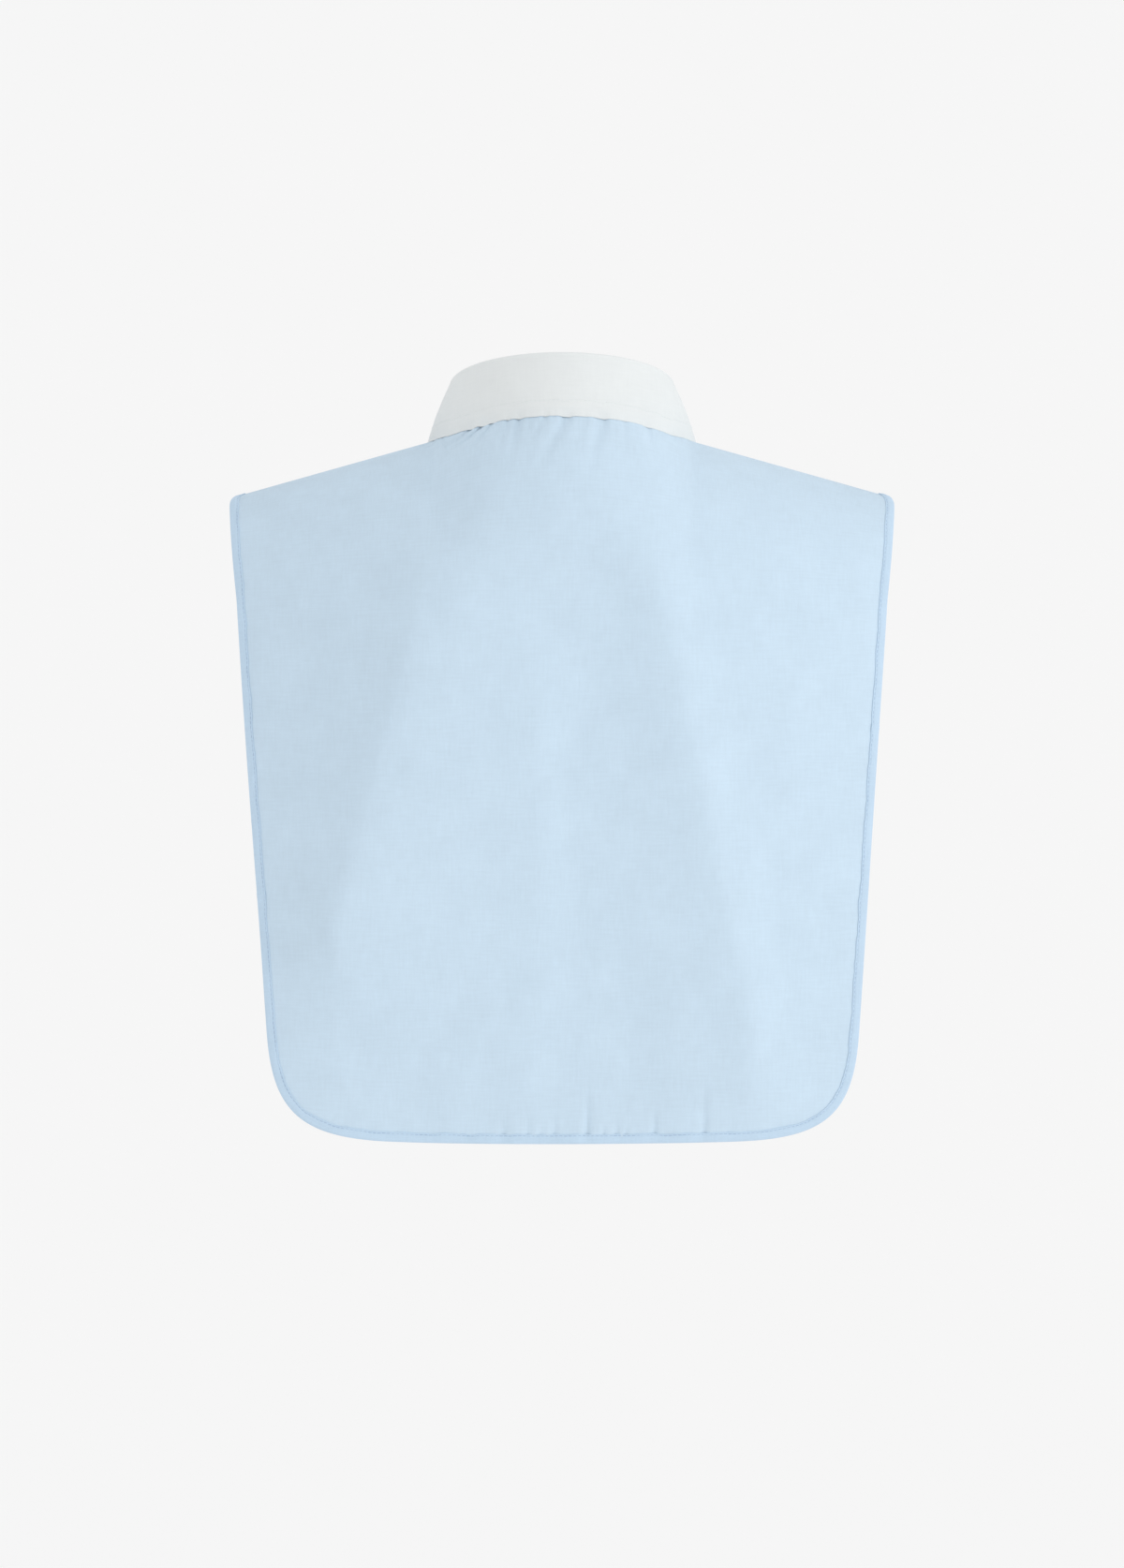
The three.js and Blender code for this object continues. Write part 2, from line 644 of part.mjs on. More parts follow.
// Four-hole button, its axis along local Z and its underside on local Z = 0
function buttonGeometry() {
  const disc = new THREE.Shape();
  disc.absarc(0, 0, BUTTON_RADIUS, 0, Math.PI * 2, false);
  for (const [across, up] of [[1, 1], [-1, 1], [-1, -1], [1, -1]]) {
    const hole = new THREE.Path();
    const centre = new THREE.Vector2(across, up).multiplyScalar(BUTTON_HOLE_SPREAD);
    hole.absarc(centre.x, centre.y, BUTTON_HOLE_RADIUS, 0, Math.PI * 2, true);
    disc.holes.push(hole);
  }
  const outline = disc.getPoints(BUTTON_SIDES / 2);
  const shape = new THREE.Shape(outline.slice(0, -1));
  shape.holes = disc.holes.map((hole) => new THREE.Path(hole.getPoints(HOLE_SIDES / 2).slice(0, -1)));
  return new THREE.ExtrudeGeometry(shape, { depth: BUTTON_THICKNESS, bevelEnabled: false, steps: 1 });
}

function buttonMesh(name, seat, outward) {
  const mesh = new THREE.Mesh(buttonGeometry(), material(BUTTON_WHITE, BUTTON_ROUGHNESS));
  mesh.name = name;
  mesh.position.copy(seat).addScaledVector(outward, GAP);
  mesh.quaternion.setFromUnitVectors(new THREE.Vector3(0, 0, 1), outward);
  return mesh;
}

function placketButtons() {
  const buttons = new THREE.Group();
  for (let i = 0; i < BUTTON_COUNT; i++) {
    const { seat, outward } = stripSeat(FIRST_BUTTON_HEIGHT - i * BUTTON_PITCH);
    buttons.add(buttonMesh(`placket_button_${i + 1}`, seat, outward));
  }
  return buttons;
}

function collarButton() {
  const [, foot, top] = standSection(-Math.PI);
  const seat = foot.clone().lerp(top, COLLAR_BUTTON_SHARE);
  const upward = top.clone().sub(foot).normalize();
  const outward = new THREE.Vector3(1, 0, 0).cross(upward).normalize();
  if (outward.y > 0) outward.negate();
  return buttonMesh('collar_button', seat, outward);
}

function clothMesh(name, geometry, color) {
  const mesh = new THREE.Mesh(geometry, material(color, CLOTH_ROUGHNESS));
  mesh.name = name;
  return mesh;
}

function tuckInCollar() {
  const back = backGrid();
  const frontRight = frontGrid(-1);
  const frontLeft = frontGrid(1);
  const stripLow = GAP / 2;
  const stripHigh = GAP / 2 + STRIP_THICKNESS;
  const group = new THREE.Group();
  group.add(clothMesh('back_panel', panel(back), BLUE));
  group.add(clothMesh('front_panel_right', panel(frontRight), BLUE));
  group.add(clothMesh('front_panel_left', panel(frontLeft), BLUE));
  group.add(clothMesh('edge_binding', binding(back, frontRight, frontLeft), BINDING_BLUE));
  group.add(clothMesh('buttonhole_placket', closingStrip(stripLow, stripHigh), BLUE));
  group.add(clothMesh('button_band', closingStrip(-stripHigh, -stripLow), BLUE));
  group.add(clothMesh('collar_stand', collarStand(), WHITE));
  group.add(clothMesh('collar_fall', collarFall(), WHITE));
  group.add(placketButtons());
  group.add(collarButton());
  return group;
}

export default tuckInCollar();
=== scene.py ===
# Tuck-in collar, worn, seen from behind: the cloth, its stitching, the buttons and the studio.
import math

import bpy
import numpy as np
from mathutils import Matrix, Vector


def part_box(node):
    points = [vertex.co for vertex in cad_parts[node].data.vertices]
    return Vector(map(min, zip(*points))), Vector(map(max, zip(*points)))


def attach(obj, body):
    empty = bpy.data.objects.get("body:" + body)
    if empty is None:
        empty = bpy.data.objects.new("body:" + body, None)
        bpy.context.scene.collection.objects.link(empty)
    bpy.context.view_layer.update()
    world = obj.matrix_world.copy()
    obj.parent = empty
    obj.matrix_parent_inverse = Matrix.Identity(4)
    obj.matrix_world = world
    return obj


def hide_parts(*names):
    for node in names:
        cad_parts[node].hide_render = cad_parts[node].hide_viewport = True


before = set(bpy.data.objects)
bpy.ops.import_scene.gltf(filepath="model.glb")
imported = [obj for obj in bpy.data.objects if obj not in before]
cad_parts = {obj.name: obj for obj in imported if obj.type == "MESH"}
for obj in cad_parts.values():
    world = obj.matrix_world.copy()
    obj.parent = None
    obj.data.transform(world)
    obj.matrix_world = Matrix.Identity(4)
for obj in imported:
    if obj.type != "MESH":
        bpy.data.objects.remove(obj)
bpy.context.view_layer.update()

# Lengths below are in millimetres unless a line says otherwise; meshes are scaled to metres when made
MM = 0.001

# Camera and studio, in metres
CAMERA_DISTANCE = 4.0
CAMERA_HEIGHT = -0.18715
CAMERA_LENS = 169.9
CAMERA_REACH = 50.0
FLOOR_HEIGHT = -1.5
FLOOR_HALF_WIDTH = 4.0
FLOOR_FRONT = 5.0
WALL_DEPTH = -7.0
WALL_TOP = 4.0
COVE_RADIUS = 1.0
WORLD_STRENGTH = 0.9
BACKDROP_GLOW = 0.645
BACKDROP_ALBEDO = 0.3
BACKDROP_ROUGHNESS = 0.95
KEY = dict(place=(-2.75, 1.6, 0.35), target=(0.0, 0.0, -0.25), size=1.3, power=22.0)

# Cloth and clearances
PANEL_HALF = 0.4
STRIP_THICKNESS = 1.2
STRIP_HALF = 0.6
STAND_THICKNESS = 1.8
STAND_HALF = 0.85
FALL_THICKNESS = 1.6
FALL_HALF = 0.75
FALL_EDGE_HALF = 0.22
FALL_EDGE_TAPER = (1.0, 8.0)
FALL_EDGE_LIFT = (0.1, 0.0)
FALL_EDGE_LIFT_TURNS = (10.0, -25.0)
FALL_PRESSED = (100.0, 130.0)
GAP = 0.3
CAD_PANEL_THICKNESS = 1.0
SHOULDER_SEAM_INSET = 0.05
STRIP_LEVEL = GAP / 2 + STRIP_THICKNESS / 2

# Rounded edges: where their extra steps lie, in shares of half the thickness, and their thinnest share
EDGE_SHARES = (0.0, 0.06, 0.25, 0.55, 1.0)
EDGE_STEPS = len(EDGE_SHARES) - 1
EDGE_THINNEST = 0.1

# Steps of the grids
BACK_NECK_STEPS = 60
FRONT_NECK_STEPS = 34
MIDDLE_STEPS = 24
CORNER_STEPS = 34
BACK_ROWS = 186
FRONT_ROWS = 140
ROW_BUNCHING = 0.06
STRIP_ACROSS_STEPS = 11
STRIP_DOWN_STEPS = 220
STAND_AROUND_STEPS = 260
STAND_UP_STEPS = 16
FALL_AROUND_STEPS = 330
ROLL_STEPS = 13
LEAF_STEPS = 40
NOSE_STEPS = 11
COVE_STEPS = 16
SETTLE_ROUNDS = 8
NEAREST_ROUNDS = 6
NORMAL_STEP = 0.3
TURN_STEP = 0.01

# Neck seam and shoulder ridge
NECK_HALF_WIDTH = 63.0
RIDGE_START = 72.4
RIDGE_START_HEIGHT = -2.85
RIDGE_SLOPE = 0.282
NAPE_ROUNDING = 10.0
RISE_HALF_WIDTH = 70.0
RISE_FLATNESS = 3
RISE_FADE = 1.5

# Body: each side leaves the ridge level, curves over it within its drop and hangs down
BACK = dict(sign=1, neck=58.0, depth=92.0, side_loss=42.0, drop=105.0, rise=22.7, lean=12.0, spread=20.0)
FRONT = dict(sign=-1, neck=61.0, depth=100.0, side_loss=34.0, drop=140.0, rise=-4.5, lean=7.0, spread=0.0)
SIDE_REFERENCE = 165.0
LEAN_START = -130.0
LEAN_RUN = 250.0
SPREAD_RANGE = (-150.0, -380.0)

# Outline seen from the back: the outer edge of the binding
SIDE_AT_ORIGIN = 180.33
SIDE_TAPER = 0.0694
FLARE = 1.4
FLARE_HEIGHT = -36.0
FLARE_RUN = 52.0
SHOULDER_CORNER = 5.3
HEM_HEIGHT = -377.9
HEM_RISE = 1.2
HEM_RISE_REFERENCE = 100.0
CORNER_TOP = -320.0
CORNER_TOP_PULL = 45.0
CORNER_END = 90.0
CORNER_END_PULL = 50.0
EDGE_INSET = 1.1

# Binding: its section has points at the distances of BINDING_SECTION from its inner edge, and a round
# nose beyond its flat part; its waver and pucker are random lines made of WANDER_WAVES waves
BINDING_WIDTH = 5.2
BINDING_HALF = 1.0
BINDING_SLOT = 0.45
BINDING_SLOT_END = 1.4
BINDING_SLOT_MOUTH = 0.02
BINDING_FLAT = 3.9
BINDING_SECTION = (0, 0.04, 0.16, 0.38, 0.62, 0.9, 1.18, 1.5, 1.95, 2.5, 3.1, 3.6)
BINDING_STEP = 1.5
BINDING_SMOOTHING = 5
BINDING_STITCH_INSET = 0.9
BINDING_STITCH_FOLLOWS = 0.7
BINDING_EDGE_ROUNDING = 0.45
BINDING_DIMPLE = 0.3
BINDING_DIMPLE_WIDTH = 0.4
BINDING_WAVER = 0.17
BINDING_WAVER_SEED = 3
BINDING_PUCKER = 0.12
BINDING_PUCKER_SEED = 5
WANDER_WAVES = 12
WANDER_PITCHES = (7, 45)
WANDER_PHASE = 6.3
LAP_RISE = 0.35
LAP_LENGTH = 7.0

# Front closing
PLACKET_HALF_WIDTH = 12.0
PANEL_INNER_EDGE = 12.1
PLACKET_STITCH_COLUMNS = (3, -4)
BUTTONHOLE_LENGTH = 14.0
BUTTONHOLE_HALF_WIDTH = 1.1
BUTTONHOLE_PITCH = 0.42
BUTTONHOLE_BAR_PITCH = 0.34
BUTTONHOLE_BAR_REACH = 0.6
BUTTONHOLE_BAR_OFFSET = 0.5
LAST_STEP_MARGIN = 0.01
BUTTON_COUNT = 5
BUTTON_RADIUS = 5.0
BUTTON_THICKNESS = 2.2
BUTTON_RIM = 1.3
BUTTON_ROUNDING = 0.9
BUTTON_DISH = 0.5
BUTTON_DISH_SLOPE = 0.9
BUTTON_HOLE_WALL = (0.64, 0.9)
BUTTON_HOLE_SPREAD = 1.35
BUTTON_HOLE_DEPTH = 1.36
BUTTON_MIDDLE = 0.004
BUTTON_RINGS = 26
BUTTON_SPOKES = 72
BUTTON_CLEARANCE = 0.25
BUTTON_THREAD_LIFT = 0.05
BUTTON_THREAD_CROSSING = 0.1
BUTTON_THREAD_PLACES = (-0.32, 0, 0.32)

# Collar
FOLD_HALF_WIDTH = 57.2
FOLD_BACK_DEPTH = 53.0
FOLD_FRONT_DEPTH = 55.0
FOLD_SIDE_HEIGHT = 29.5
FOLD_TILT = 13.7
FOLD_THROAT_DROP = 9.8
ROLL_RADIUS = 1.4
LIP_DEPTH = 4.0
LIP_SHARES = (0, 0.03, 0.12, 0.3, 0.6)
STAND_LENGTH = 400.0
STAND_HEIGHT = 30.0
STAND_STITCH_ROW = 6
STAND_OVERLAP_TURN = 10.0
STAND_CROSSING = (150.0, 178.0)
STAND_LIFT = (92.0, 120.0)
STAND_END_ROUNDING = 16.0
STAND_END_SHARE = 0.45
FALL_LENGTH = 420.0
FALL_END_TURN = 174.0
FALL_BULGE = 1.2
FALL_STITCH_INSET = 8.5
FALL_SEAM_STEP = 0.12
FALL_SEAM_EASE = 0.4
FALL_SEAM_FADE = 4
FALL_HOLLOW = 0.35
FALL_HOLLOW_WIDTH = 4.0
LEAF_LENGTH = 30.0
LEAF_START = 0.03
LEAF_EDGE_SHARES = (0.0, 0.05, 0.2, 0.5, 1.0)

# Stitches: their length, width and height, and the rings that shape each one along its length
STITCH_PITCH = 2.5
SEAM_STITCH = (1.9, 0.32, 0.16)
BUTTONHOLE_STITCH = (1.3, 0.36, 0.24)
BUTTON_THREAD = (4.6, 0.42, 0.42)
RING_PLACES = np.array([-1.0, -0.6, 0.6, 1.0])
RING_SIZES = np.array([0.5, 1.0, 1.0, 0.5])
RING_SINKS = np.array([-0.8, 0.0, 0.0, -0.8])
RING_SIDES = 6

# The free edge of the fall from the nape to the collar's point: the turn of the fold in degrees, and the
# place across, back and up
FALL_EDGE = [
    (0, 0, 66.5, 11.4),
    (30, 35, 56, 8.7),
    (60, 60, 33, 1.9),
    (90, 71.8, 0, -0.4),
    (115, 74, -28, -6),
    (140, 66, -54, -19.5),
    (160, 53, -73, -38),
    (174, 40, -86, -55),
]

# Soft folds of the back panel: a line from its upper to its lower end, a width to each side of it,
# the wearer's left first, a height, negative for a hollow, and a power, 2 for a bell and less for a
# sharper crest
BACK_FOLDS = [
    dict(start=(-42, -35), end=(-101, -320), widths=(24, 18), height=6.3, power=1.65),
    dict(start=(-14, -95), end=(-8, -330), widths=(20, 32), height=-3.4, power=2),
    dict(start=(13, -110), end=(12, -250), widths=(9, 11), height=0.8, power=2),
    dict(start=(62, -45), end=(120, -262), widths=(25, 58), height=16.0, power=1.65),
    dict(start=(-30, -250), end=(-38, -335), widths=(14, 20), height=-1.6, power=2),
]
# The panel's lower left swings away from the body, which pulls its edge inwards and up
SWING = dict(across=163, width=84, height=20.0, inwards=1.7, upwards=2.0, heights=(-90, -290))
FOLD_FADE_ABOVE = 15.0
FOLD_FADE_BELOW = 60.0
FOLD_END_FADE = 70.0

# Small gathers of the back panel under the collar: the place across, the lean, the width, the height
# and how far down the cloth each one runs
NECK_GATHERS = [
    (64, 0.5, 2.2, -3.0, 32),
    (53.6, 0.6, 2.0, -2.8, 36),
    (43.5, 0.6, 2.0, -2.8, 42),
    (36.7, 0.7, 2.4, -3.6, 48),
    (33, 0.5, 1.8, -2.2, 38),
    (27.3, 0.2, 1.6, -1.2, 34),
    (21.3, 0.17, 2.6, -2.0, 42),
    (14, 0.2, 1.8, -0.7, 30),
    (5.1, 0.45, 1.6, -0.9, 30),
    (-6.3, 0.42, 3.4, -2.3, 50),
    (-12, 0.1, 2.2, -0.6, 34),
    (-22.9, 0.18, 3.4, -2.1, 52),
    (-33, 0, 2.4, -0.6, 30),
    (-44.6, -0.1, 2.2, -1.8, 36),
    (-57, -0.15, 2.4, -1.7, 32),
]
GATHER_PEAK = 6.0

# Tiny even puckers close under the collar, and the share of the relief that its free edge follows
COLLAR_PUCKER_PITCH = 4.7
COLLAR_PUCKER_WAVER = 1.5
COLLAR_PUCKER_WAVER_RUN = 9.0
COLLAR_PUCKER_DEPTH = 0.45
COLLAR_PUCKER_RANGE = (-30.0, 55.0)
COLLAR_PUCKER_FADE = 12.0
COLLAR_PUCKER_REACH = (12.0, 22.0)
FALL_FOLLOWS = 0.75
FALL_WAVE_SHARES = (0.82, 1.0)

# The hem turns out a little, and its stitching pulls puckers into the back panel: the place across,
# the width, the height and how far up the cloth each one runs
HEM_FLARE = 0.9
HEM_FLARE_RUN = 16.0
HEM_PUCKER_PEAK = 2.0
HEM_PUCKERS = [
    (88, 2.5, -0.4, 12),
    (52, 2, -0.4, 11),
    (31, 2, -0.9, 18),
    (18, 1.8, -1.0, 20),
    (11, 1.8, -0.7, 12),
    (4, 1.6, -0.9, 20),
    (-13.5, 1.8, -1.5, 36),
    (-22, 1.6, -0.8, 12),
    (-29, 1.6, -0.9, 15),
    (-34, 1.6, -0.8, 12),
    (-49, 2.0, -1.2, 24),
    (-62, 6, 0.7, 20),
    (-75.5, 2.0, -1.5, 38),
    (-89, 2.4, -0.8, 16),
    (-97, 2.2, -0.6, 14),
]

# Joins of the binding seen from the back: which side, and the height of the join
BINDING_JOINS = ((1, -244.7), (-1, -155.6))

# Unevenness of the whole cloth, as the sum of waves of many lengths and directions
CRUMPLE_SEED = 7
CRUMPLE_WAVES = 26
CRUMPLE_LENGTHS = (14.0, 60.0)
CRUMPLE_SLOPE = 0.0036
CRUMPLE_DIVISOR = 5.0
CRUMPLE_BEND = 6.0
CRUMPLE_BEND_RUN = 37.0
CRUMPLE_FADE = (15.0, 60.0)
CRUMPLE_BETWEEN_SIDES = 500.0

# Colours are linear, depths of bumps are in metres, and the scales of cloth noises are per millimetre
CLOTHS = {
    "bib_poplin": dict(color=(0.613, 0.757, 0.884), variation=0.033, crease=0.0002, sheen=0.1),
    "binding_poplin": dict(color=(0.564, 0.720, 0.873), variation=0.03, crease=0.0001, sheen=0.1),
    "collar_poplin": dict(color=(0.815, 0.845, 0.848), variation=0.015, crease=0.00008, sheen=0.05),
}
CLOTH_ROUGHNESS = (0.82, 0.94)
CLOTH_SHEEN_ROUGHNESS = 0.6
CLOTH_SPECULAR = 0.2
WEAVE_PITCH = 0.28
WEAVE_SHARE = 0.6
WEAVE_DEPTH = 0.00004
SLUB_FINE = 0.85
SLUB_LONG = 0.09
SLUB_DETAIL = 3.0
SLUB_DEPTH = 0.00003
MOTTLE = dict(across=0.05, down=0.035, detail=6.0, grain=0.62)
MOTTLE_SHARE = 0.55
MOTTLE_SHADE = 0.985
CREASES = dict(across=0.16, down=0.08, detail=5.0, grain=0.6)
THREAD_LOOK = dict(scale=2600.0, detail=2.0, shades=(0.9, 1.06), roughness=(0.5, 0.7), bump=0.00005)
THREAD_SHEEN = 0.3
BUTTON_LOOK = dict(
    scale=260.0, detail=4.0, grain=0.6, shades=(0.88, 1.04), roughness=(0.16, 0.3), bump=0.00004
)
BUTTON_COAT = 0.4
BACKDROP_LOOK = dict(scale=6.0, detail=3.0, shades=(0.99, 1.01))
NOISE_RANGE = (0.3, 0.7)
# The blue thread is darker than the blue cloth: partly the thread's own colour and partly painted shade
# of the holes between stitches, so that the stitch lines show as dark dots
THREAD_BLUE_WITH_PAINTED_SHADE = (0.40, 0.53, 0.70)
THREAD_WHITE = (0.80, 0.83, 0.835)
BUTTON_WHITE = (0.84, 0.83, 0.79)


# Studio
def add_camera():
    data = bpy.data.cameras.new("camera")
    data.lens = CAMERA_LENS
    data.clip_end = CAMERA_REACH
    camera = bpy.data.objects.new("camera", data)
    camera.location = (0, CAMERA_DISTANCE, CAMERA_HEIGHT)
    camera.rotation_euler = (math.radians(90), 0, math.radians(180))
    bpy.context.scene.collection.objects.link(camera)
    bpy.context.scene.camera = camera


def add_light(name, place, target, size, power):
    data = bpy.data.lights.new(name, "AREA")
    data.shape = "SQUARE"
    data.size = size
    data.energy = power
    light = bpy.data.objects.new(name, data)
    light.location = place
    aim = np.subtract(place, target)
    light.rotation_euler = (
        math.atan2(math.hypot(aim[0], aim[1]), aim[2]),
        0,
        math.atan2(aim[0], -aim[1]),
    )
    bpy.context.scene.collection.objects.link(light)


def set_world():
    world = bpy.data.worlds.new("studio")
    world.use_nodes = True
    background = world.node_tree.nodes["Background"]
    background.inputs["Color"].default_value = (1, 1, 1, 1)
    background.inputs["Strength"].default_value = WORLD_STRENGTH
    bpy.context.scene.world = world
    bpy.context.scene.view_settings.view_transform = "Standard"


# Node helper
class Nodes:
    def __init__(self, name):
        self.material = bpy.data.materials.new(name)
        self.material.use_nodes = True
        self.tree = self.material.node_tree
        self.shader = self.tree.nodes["Principled BSDF"]

    def add(self, kind, inputs=None, **settings):
        node = self.tree.nodes.new(kind)
        for key, value in settings.items():
            setattr(node, key, value)
        for key, value in (inputs or {}).items():
            self.put(node.inputs[key], value)
        return node

    def set(self, name, value):
        self.put(self.shader.inputs[name], value)

    def put(self, socket, value):
        if isinstance(value, bpy.types.NodeSocket):
            self.tree.links.new(value, socket)
        else:
            socket.default_value = value

    def math(self, operation, first, second=0.0):
        return self.add("ShaderNodeMath", {0: first, 1: second}, operation=operation).outputs[0]

    def multiply(self, vector, factors):
        node = self.add("ShaderNodeVectorMath", {0: vector, 1: factors}, operation="MULTIPLY")
        return node.outputs[0]

    def noise(self, vector, scale, detail, grain=0.5):
        inputs = {"Vector": vector, "Scale": scale, "Detail": detail, "Roughness": grain}
        return self.add("ShaderNodeTexNoise", inputs).outputs["Fac"]

    def spread(self, value, low, high):
        least, most = NOISE_RANGE
        inputs = {"Value": value, "From Min": least, "From Max": most, "To Min": low, "To Max": high}
        return self.add("ShaderNodeMapRange", inputs).outputs["Result"]

    def mix(self, factor, first, second):
        node = self.add("ShaderNodeMix", data_type="RGBA")
        self.put(node.inputs["Factor"], factor)
        self.put(node.inputs["A"], first)
        self.put(node.inputs["B"], second)
        return node.outputs["Result"]

    def bump(self, height, distance, normal=None):
        inputs = {"Height": height, "Distance": distance}
        if normal is not None:
            inputs["Normal"] = normal
        return self.add("ShaderNodeBump", inputs).outputs["Normal"]


def shaded(color, factor):
    return (*[channel * factor for channel in color], 1.0)


# Materials
def weave_height(nodes, cloth):
    split = nodes.add("ShaderNodeSeparateXYZ", {"Vector": cloth})
    warp = nodes.math("SINE", nodes.math("MULTIPLY", split.outputs["X"], math.pi / WEAVE_PITCH))
    weft = nodes.math("SINE", nodes.math("MULTIPLY", split.outputs["Y"], math.pi / WEAVE_PITCH))
    return nodes.math("MULTIPLY", warp, weft)


def cloth_noise(nodes, cloth, across, down, detail, grain=0.5):
    return nodes.noise(nodes.multiply(cloth, (across, down, 1)), 1.0, detail, grain)


def slub_streaks(nodes, cloth):
    upright = cloth_noise(nodes, cloth, SLUB_FINE, SLUB_LONG, SLUB_DETAIL)
    level = cloth_noise(nodes, cloth, SLUB_LONG, SLUB_FINE, SLUB_DETAIL)
    return nodes.math("MULTIPLY", nodes.math("ADD", upright, level), 0.5)


def cloth_material(name, color, variation, crease, sheen):
    nodes = Nodes(name)
    cloth = nodes.add("ShaderNodeUVMap", uv_map="cloth").outputs["UV"]
    weave = weave_height(nodes, cloth)
    streaks = slub_streaks(nodes, cloth)
    mottle = cloth_noise(nodes, cloth, **MOTTLE)
    creases = cloth_noise(nodes, cloth, **CREASES)
    threads = nodes.math("ADD", nodes.spread(streaks, -variation, variation), 1.0)
    patches = nodes.spread(mottle, -variation * MOTTLE_SHARE, variation * MOTTLE_SHARE)
    lightness = nodes.math("ADD", threads, patches)
    lightness = nodes.math("ADD", lightness, nodes.math("MULTIPLY", weave, variation * WEAVE_SHARE))
    grey = nodes.add("ShaderNodeCombineXYZ", {"X": lightness, "Y": lightness, "Z": lightness}).outputs[0]
    tint = nodes.mix(nodes.spread(mottle, 0.0, 1.0), shaded(color, MOTTLE_SHADE), shaded(color, 1.0))
    nodes.set("Base Color", nodes.multiply(tint, grey))
    nodes.set("Roughness", nodes.spread(mottle, *CLOTH_ROUGHNESS))
    nodes.set("Sheen Weight", sheen)
    nodes.set("Sheen Roughness", CLOTH_SHEEN_ROUGHNESS)
    nodes.set("Specular IOR Level", CLOTH_SPECULAR)
    normal = nodes.bump(creases, crease)
    normal = nodes.bump(streaks, SLUB_DEPTH, normal)
    nodes.set("Normal", nodes.bump(weave, WEAVE_DEPTH, normal))
    return nodes.material


def speckled(name, color, scale, detail, shades, grain=0.5, roughness=None, bump=None):
    """Nodes of a material whose colour, and roughness and bump where given, follow one noise."""
    nodes = Nodes(name)
    place = nodes.add("ShaderNodeTexCoord").outputs["Object"]
    specks = nodes.noise(place, scale, detail, grain)
    nodes.set("Base Color", nodes.mix(specks, *[shaded(color, shade) for shade in shades]))
    if roughness:
        nodes.set("Roughness", nodes.spread(specks, *roughness))
    if bump:
        nodes.set("Normal", nodes.bump(specks, bump))
    return nodes


def thread_material(name, color):
    nodes = speckled(name, color, **THREAD_LOOK)
    nodes.set("Sheen Weight", THREAD_SHEEN)
    return nodes.material


def button_material():
    nodes = speckled("button_pearl", BUTTON_WHITE, **BUTTON_LOOK)
    nodes.set("Coat Weight", BUTTON_COAT)
    return nodes.material


def backdrop_material():
    nodes = speckled("studio_paper", (BACKDROP_ALBEDO,) * 3, **BACKDROP_LOOK)
    nodes.set("Roughness", BACKDROP_ROUGHNESS)
    nodes.set("Specular IOR Level", 0.0)
    nodes.set("Emission Color", (1, 1, 1, 1))
    nodes.set("Emission Strength", BACKDROP_GLOW)
    return nodes.material


# Meshes
def new_object(name, vertices, faces, uv, material):
    mesh = bpy.data.meshes.new(name)
    mesh.from_pydata((np.asarray(vertices) * MM).tolist(), [], [list(face) for face in faces])
    mesh.polygons.foreach_set("use_smooth", np.ones(len(mesh.polygons), dtype=bool))
    if uv is not None:
        corners = np.empty(len(mesh.loops), dtype=np.int32)
        mesh.loops.foreach_get("vertex_index", corners)
        layer = mesh.uv_layers.new(name="cloth")
        layer.data.foreach_set("uv", np.asarray(uv)[corners].ravel())
    mesh.materials.append(material)
    piece = bpy.data.objects.new(name, mesh)
    bpy.context.scene.collection.objects.link(piece)
    return piece


def add_piece(name, shape, material, slot, *nodes):
    piece = new_object(name, *shape, material)
    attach(piece, "root")
    if nodes:
        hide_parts(*nodes)
    return piece


def grid_quads(rows, columns):
    i, j = np.meshgrid(np.arange(rows - 1), np.arange(columns - 1), indexing="ij")
    first = i * columns + j
    return np.stack([first, first + columns, first + columns + 1, first + 1], axis=-1).reshape(-1, 4)


def border_ring(rows, columns):
    index = np.arange(rows * columns).reshape(rows, columns)
    return np.concatenate([index[:-1, 0], index[-1, :-1], index[:0:-1, -1], index[0, :0:-1]])


def ring_faces(rings, sides, flipped=False):
    """Faces of a closed solid through rings of points, with a flat face at both ends."""
    i, j = np.meshgrid(np.arange(rings - 1), np.arange(sides), indexing="ij")
    low = i * sides + j
    after = i * sides + (j + 1) % sides
    quads = np.stack([low, after, after + sides, low + sides], axis=-1).reshape(-1, 4)
    first = list(range(sides))
    last = list(range((rings - 1) * sides, rings * sides))
    if flipped:
        return [*quads[:, [0, 3, 2, 1]].tolist(), first, last[::-1]]
    return [*quads.tolist(), first[::-1], last]


def unit(vectors):
    return vectors / np.linalg.norm(vectors, axis=-1, keepdims=True)


def grid_normals(points):
    along_rows = np.gradient(points, axis=0)
    along_columns = np.gradient(points, axis=1)
    return unit(np.cross(along_rows, along_columns))


def lengths_along(points, axis=0):
    """Distance of each point from the first one along an axis of a line or grid of points."""
    steps = np.linalg.norm(np.diff(points, axis=axis), axis=-1)
    start = np.zeros_like(np.take(steps, [0], axis=axis))
    return np.concatenate([start, np.cumsum(steps, axis=axis)], axis=axis)


def grid_uv(points):
    across, down = lengths_along(points, 0), lengths_along(points, 1)
    middle = across[across.shape[0] // 2]
    return np.stack([across - middle, down], axis=-1)


def closed_sheet(points, half, normals=None, uv=None):
    """A sheet with two faces, half its thickness to each side of a grid of points."""
    rows, columns = points.shape[:2]
    normals = grid_normals(points) if normals is None else normals
    uv = grid_uv(points) if uv is None else uv
    half = np.broadcast_to(half, (rows, columns))[..., None]
    outer = (points + normals * half).reshape(-1, 3)
    inner = (points - normals * half).reshape(-1, 3)
    count = rows * columns
    ring = border_ring(rows, columns)
    after = np.roll(ring, -1)
    border = np.stack([ring, ring + count, after + count, after], axis=-1)
    quads = grid_quads(rows, columns)
    faces = np.concatenate([quads, quads[:, ::-1] + count, border[:, ::-1]])
    return np.concatenate([outer, inner]), faces, np.tile(uv.reshape(-1, 2), (2, 1))


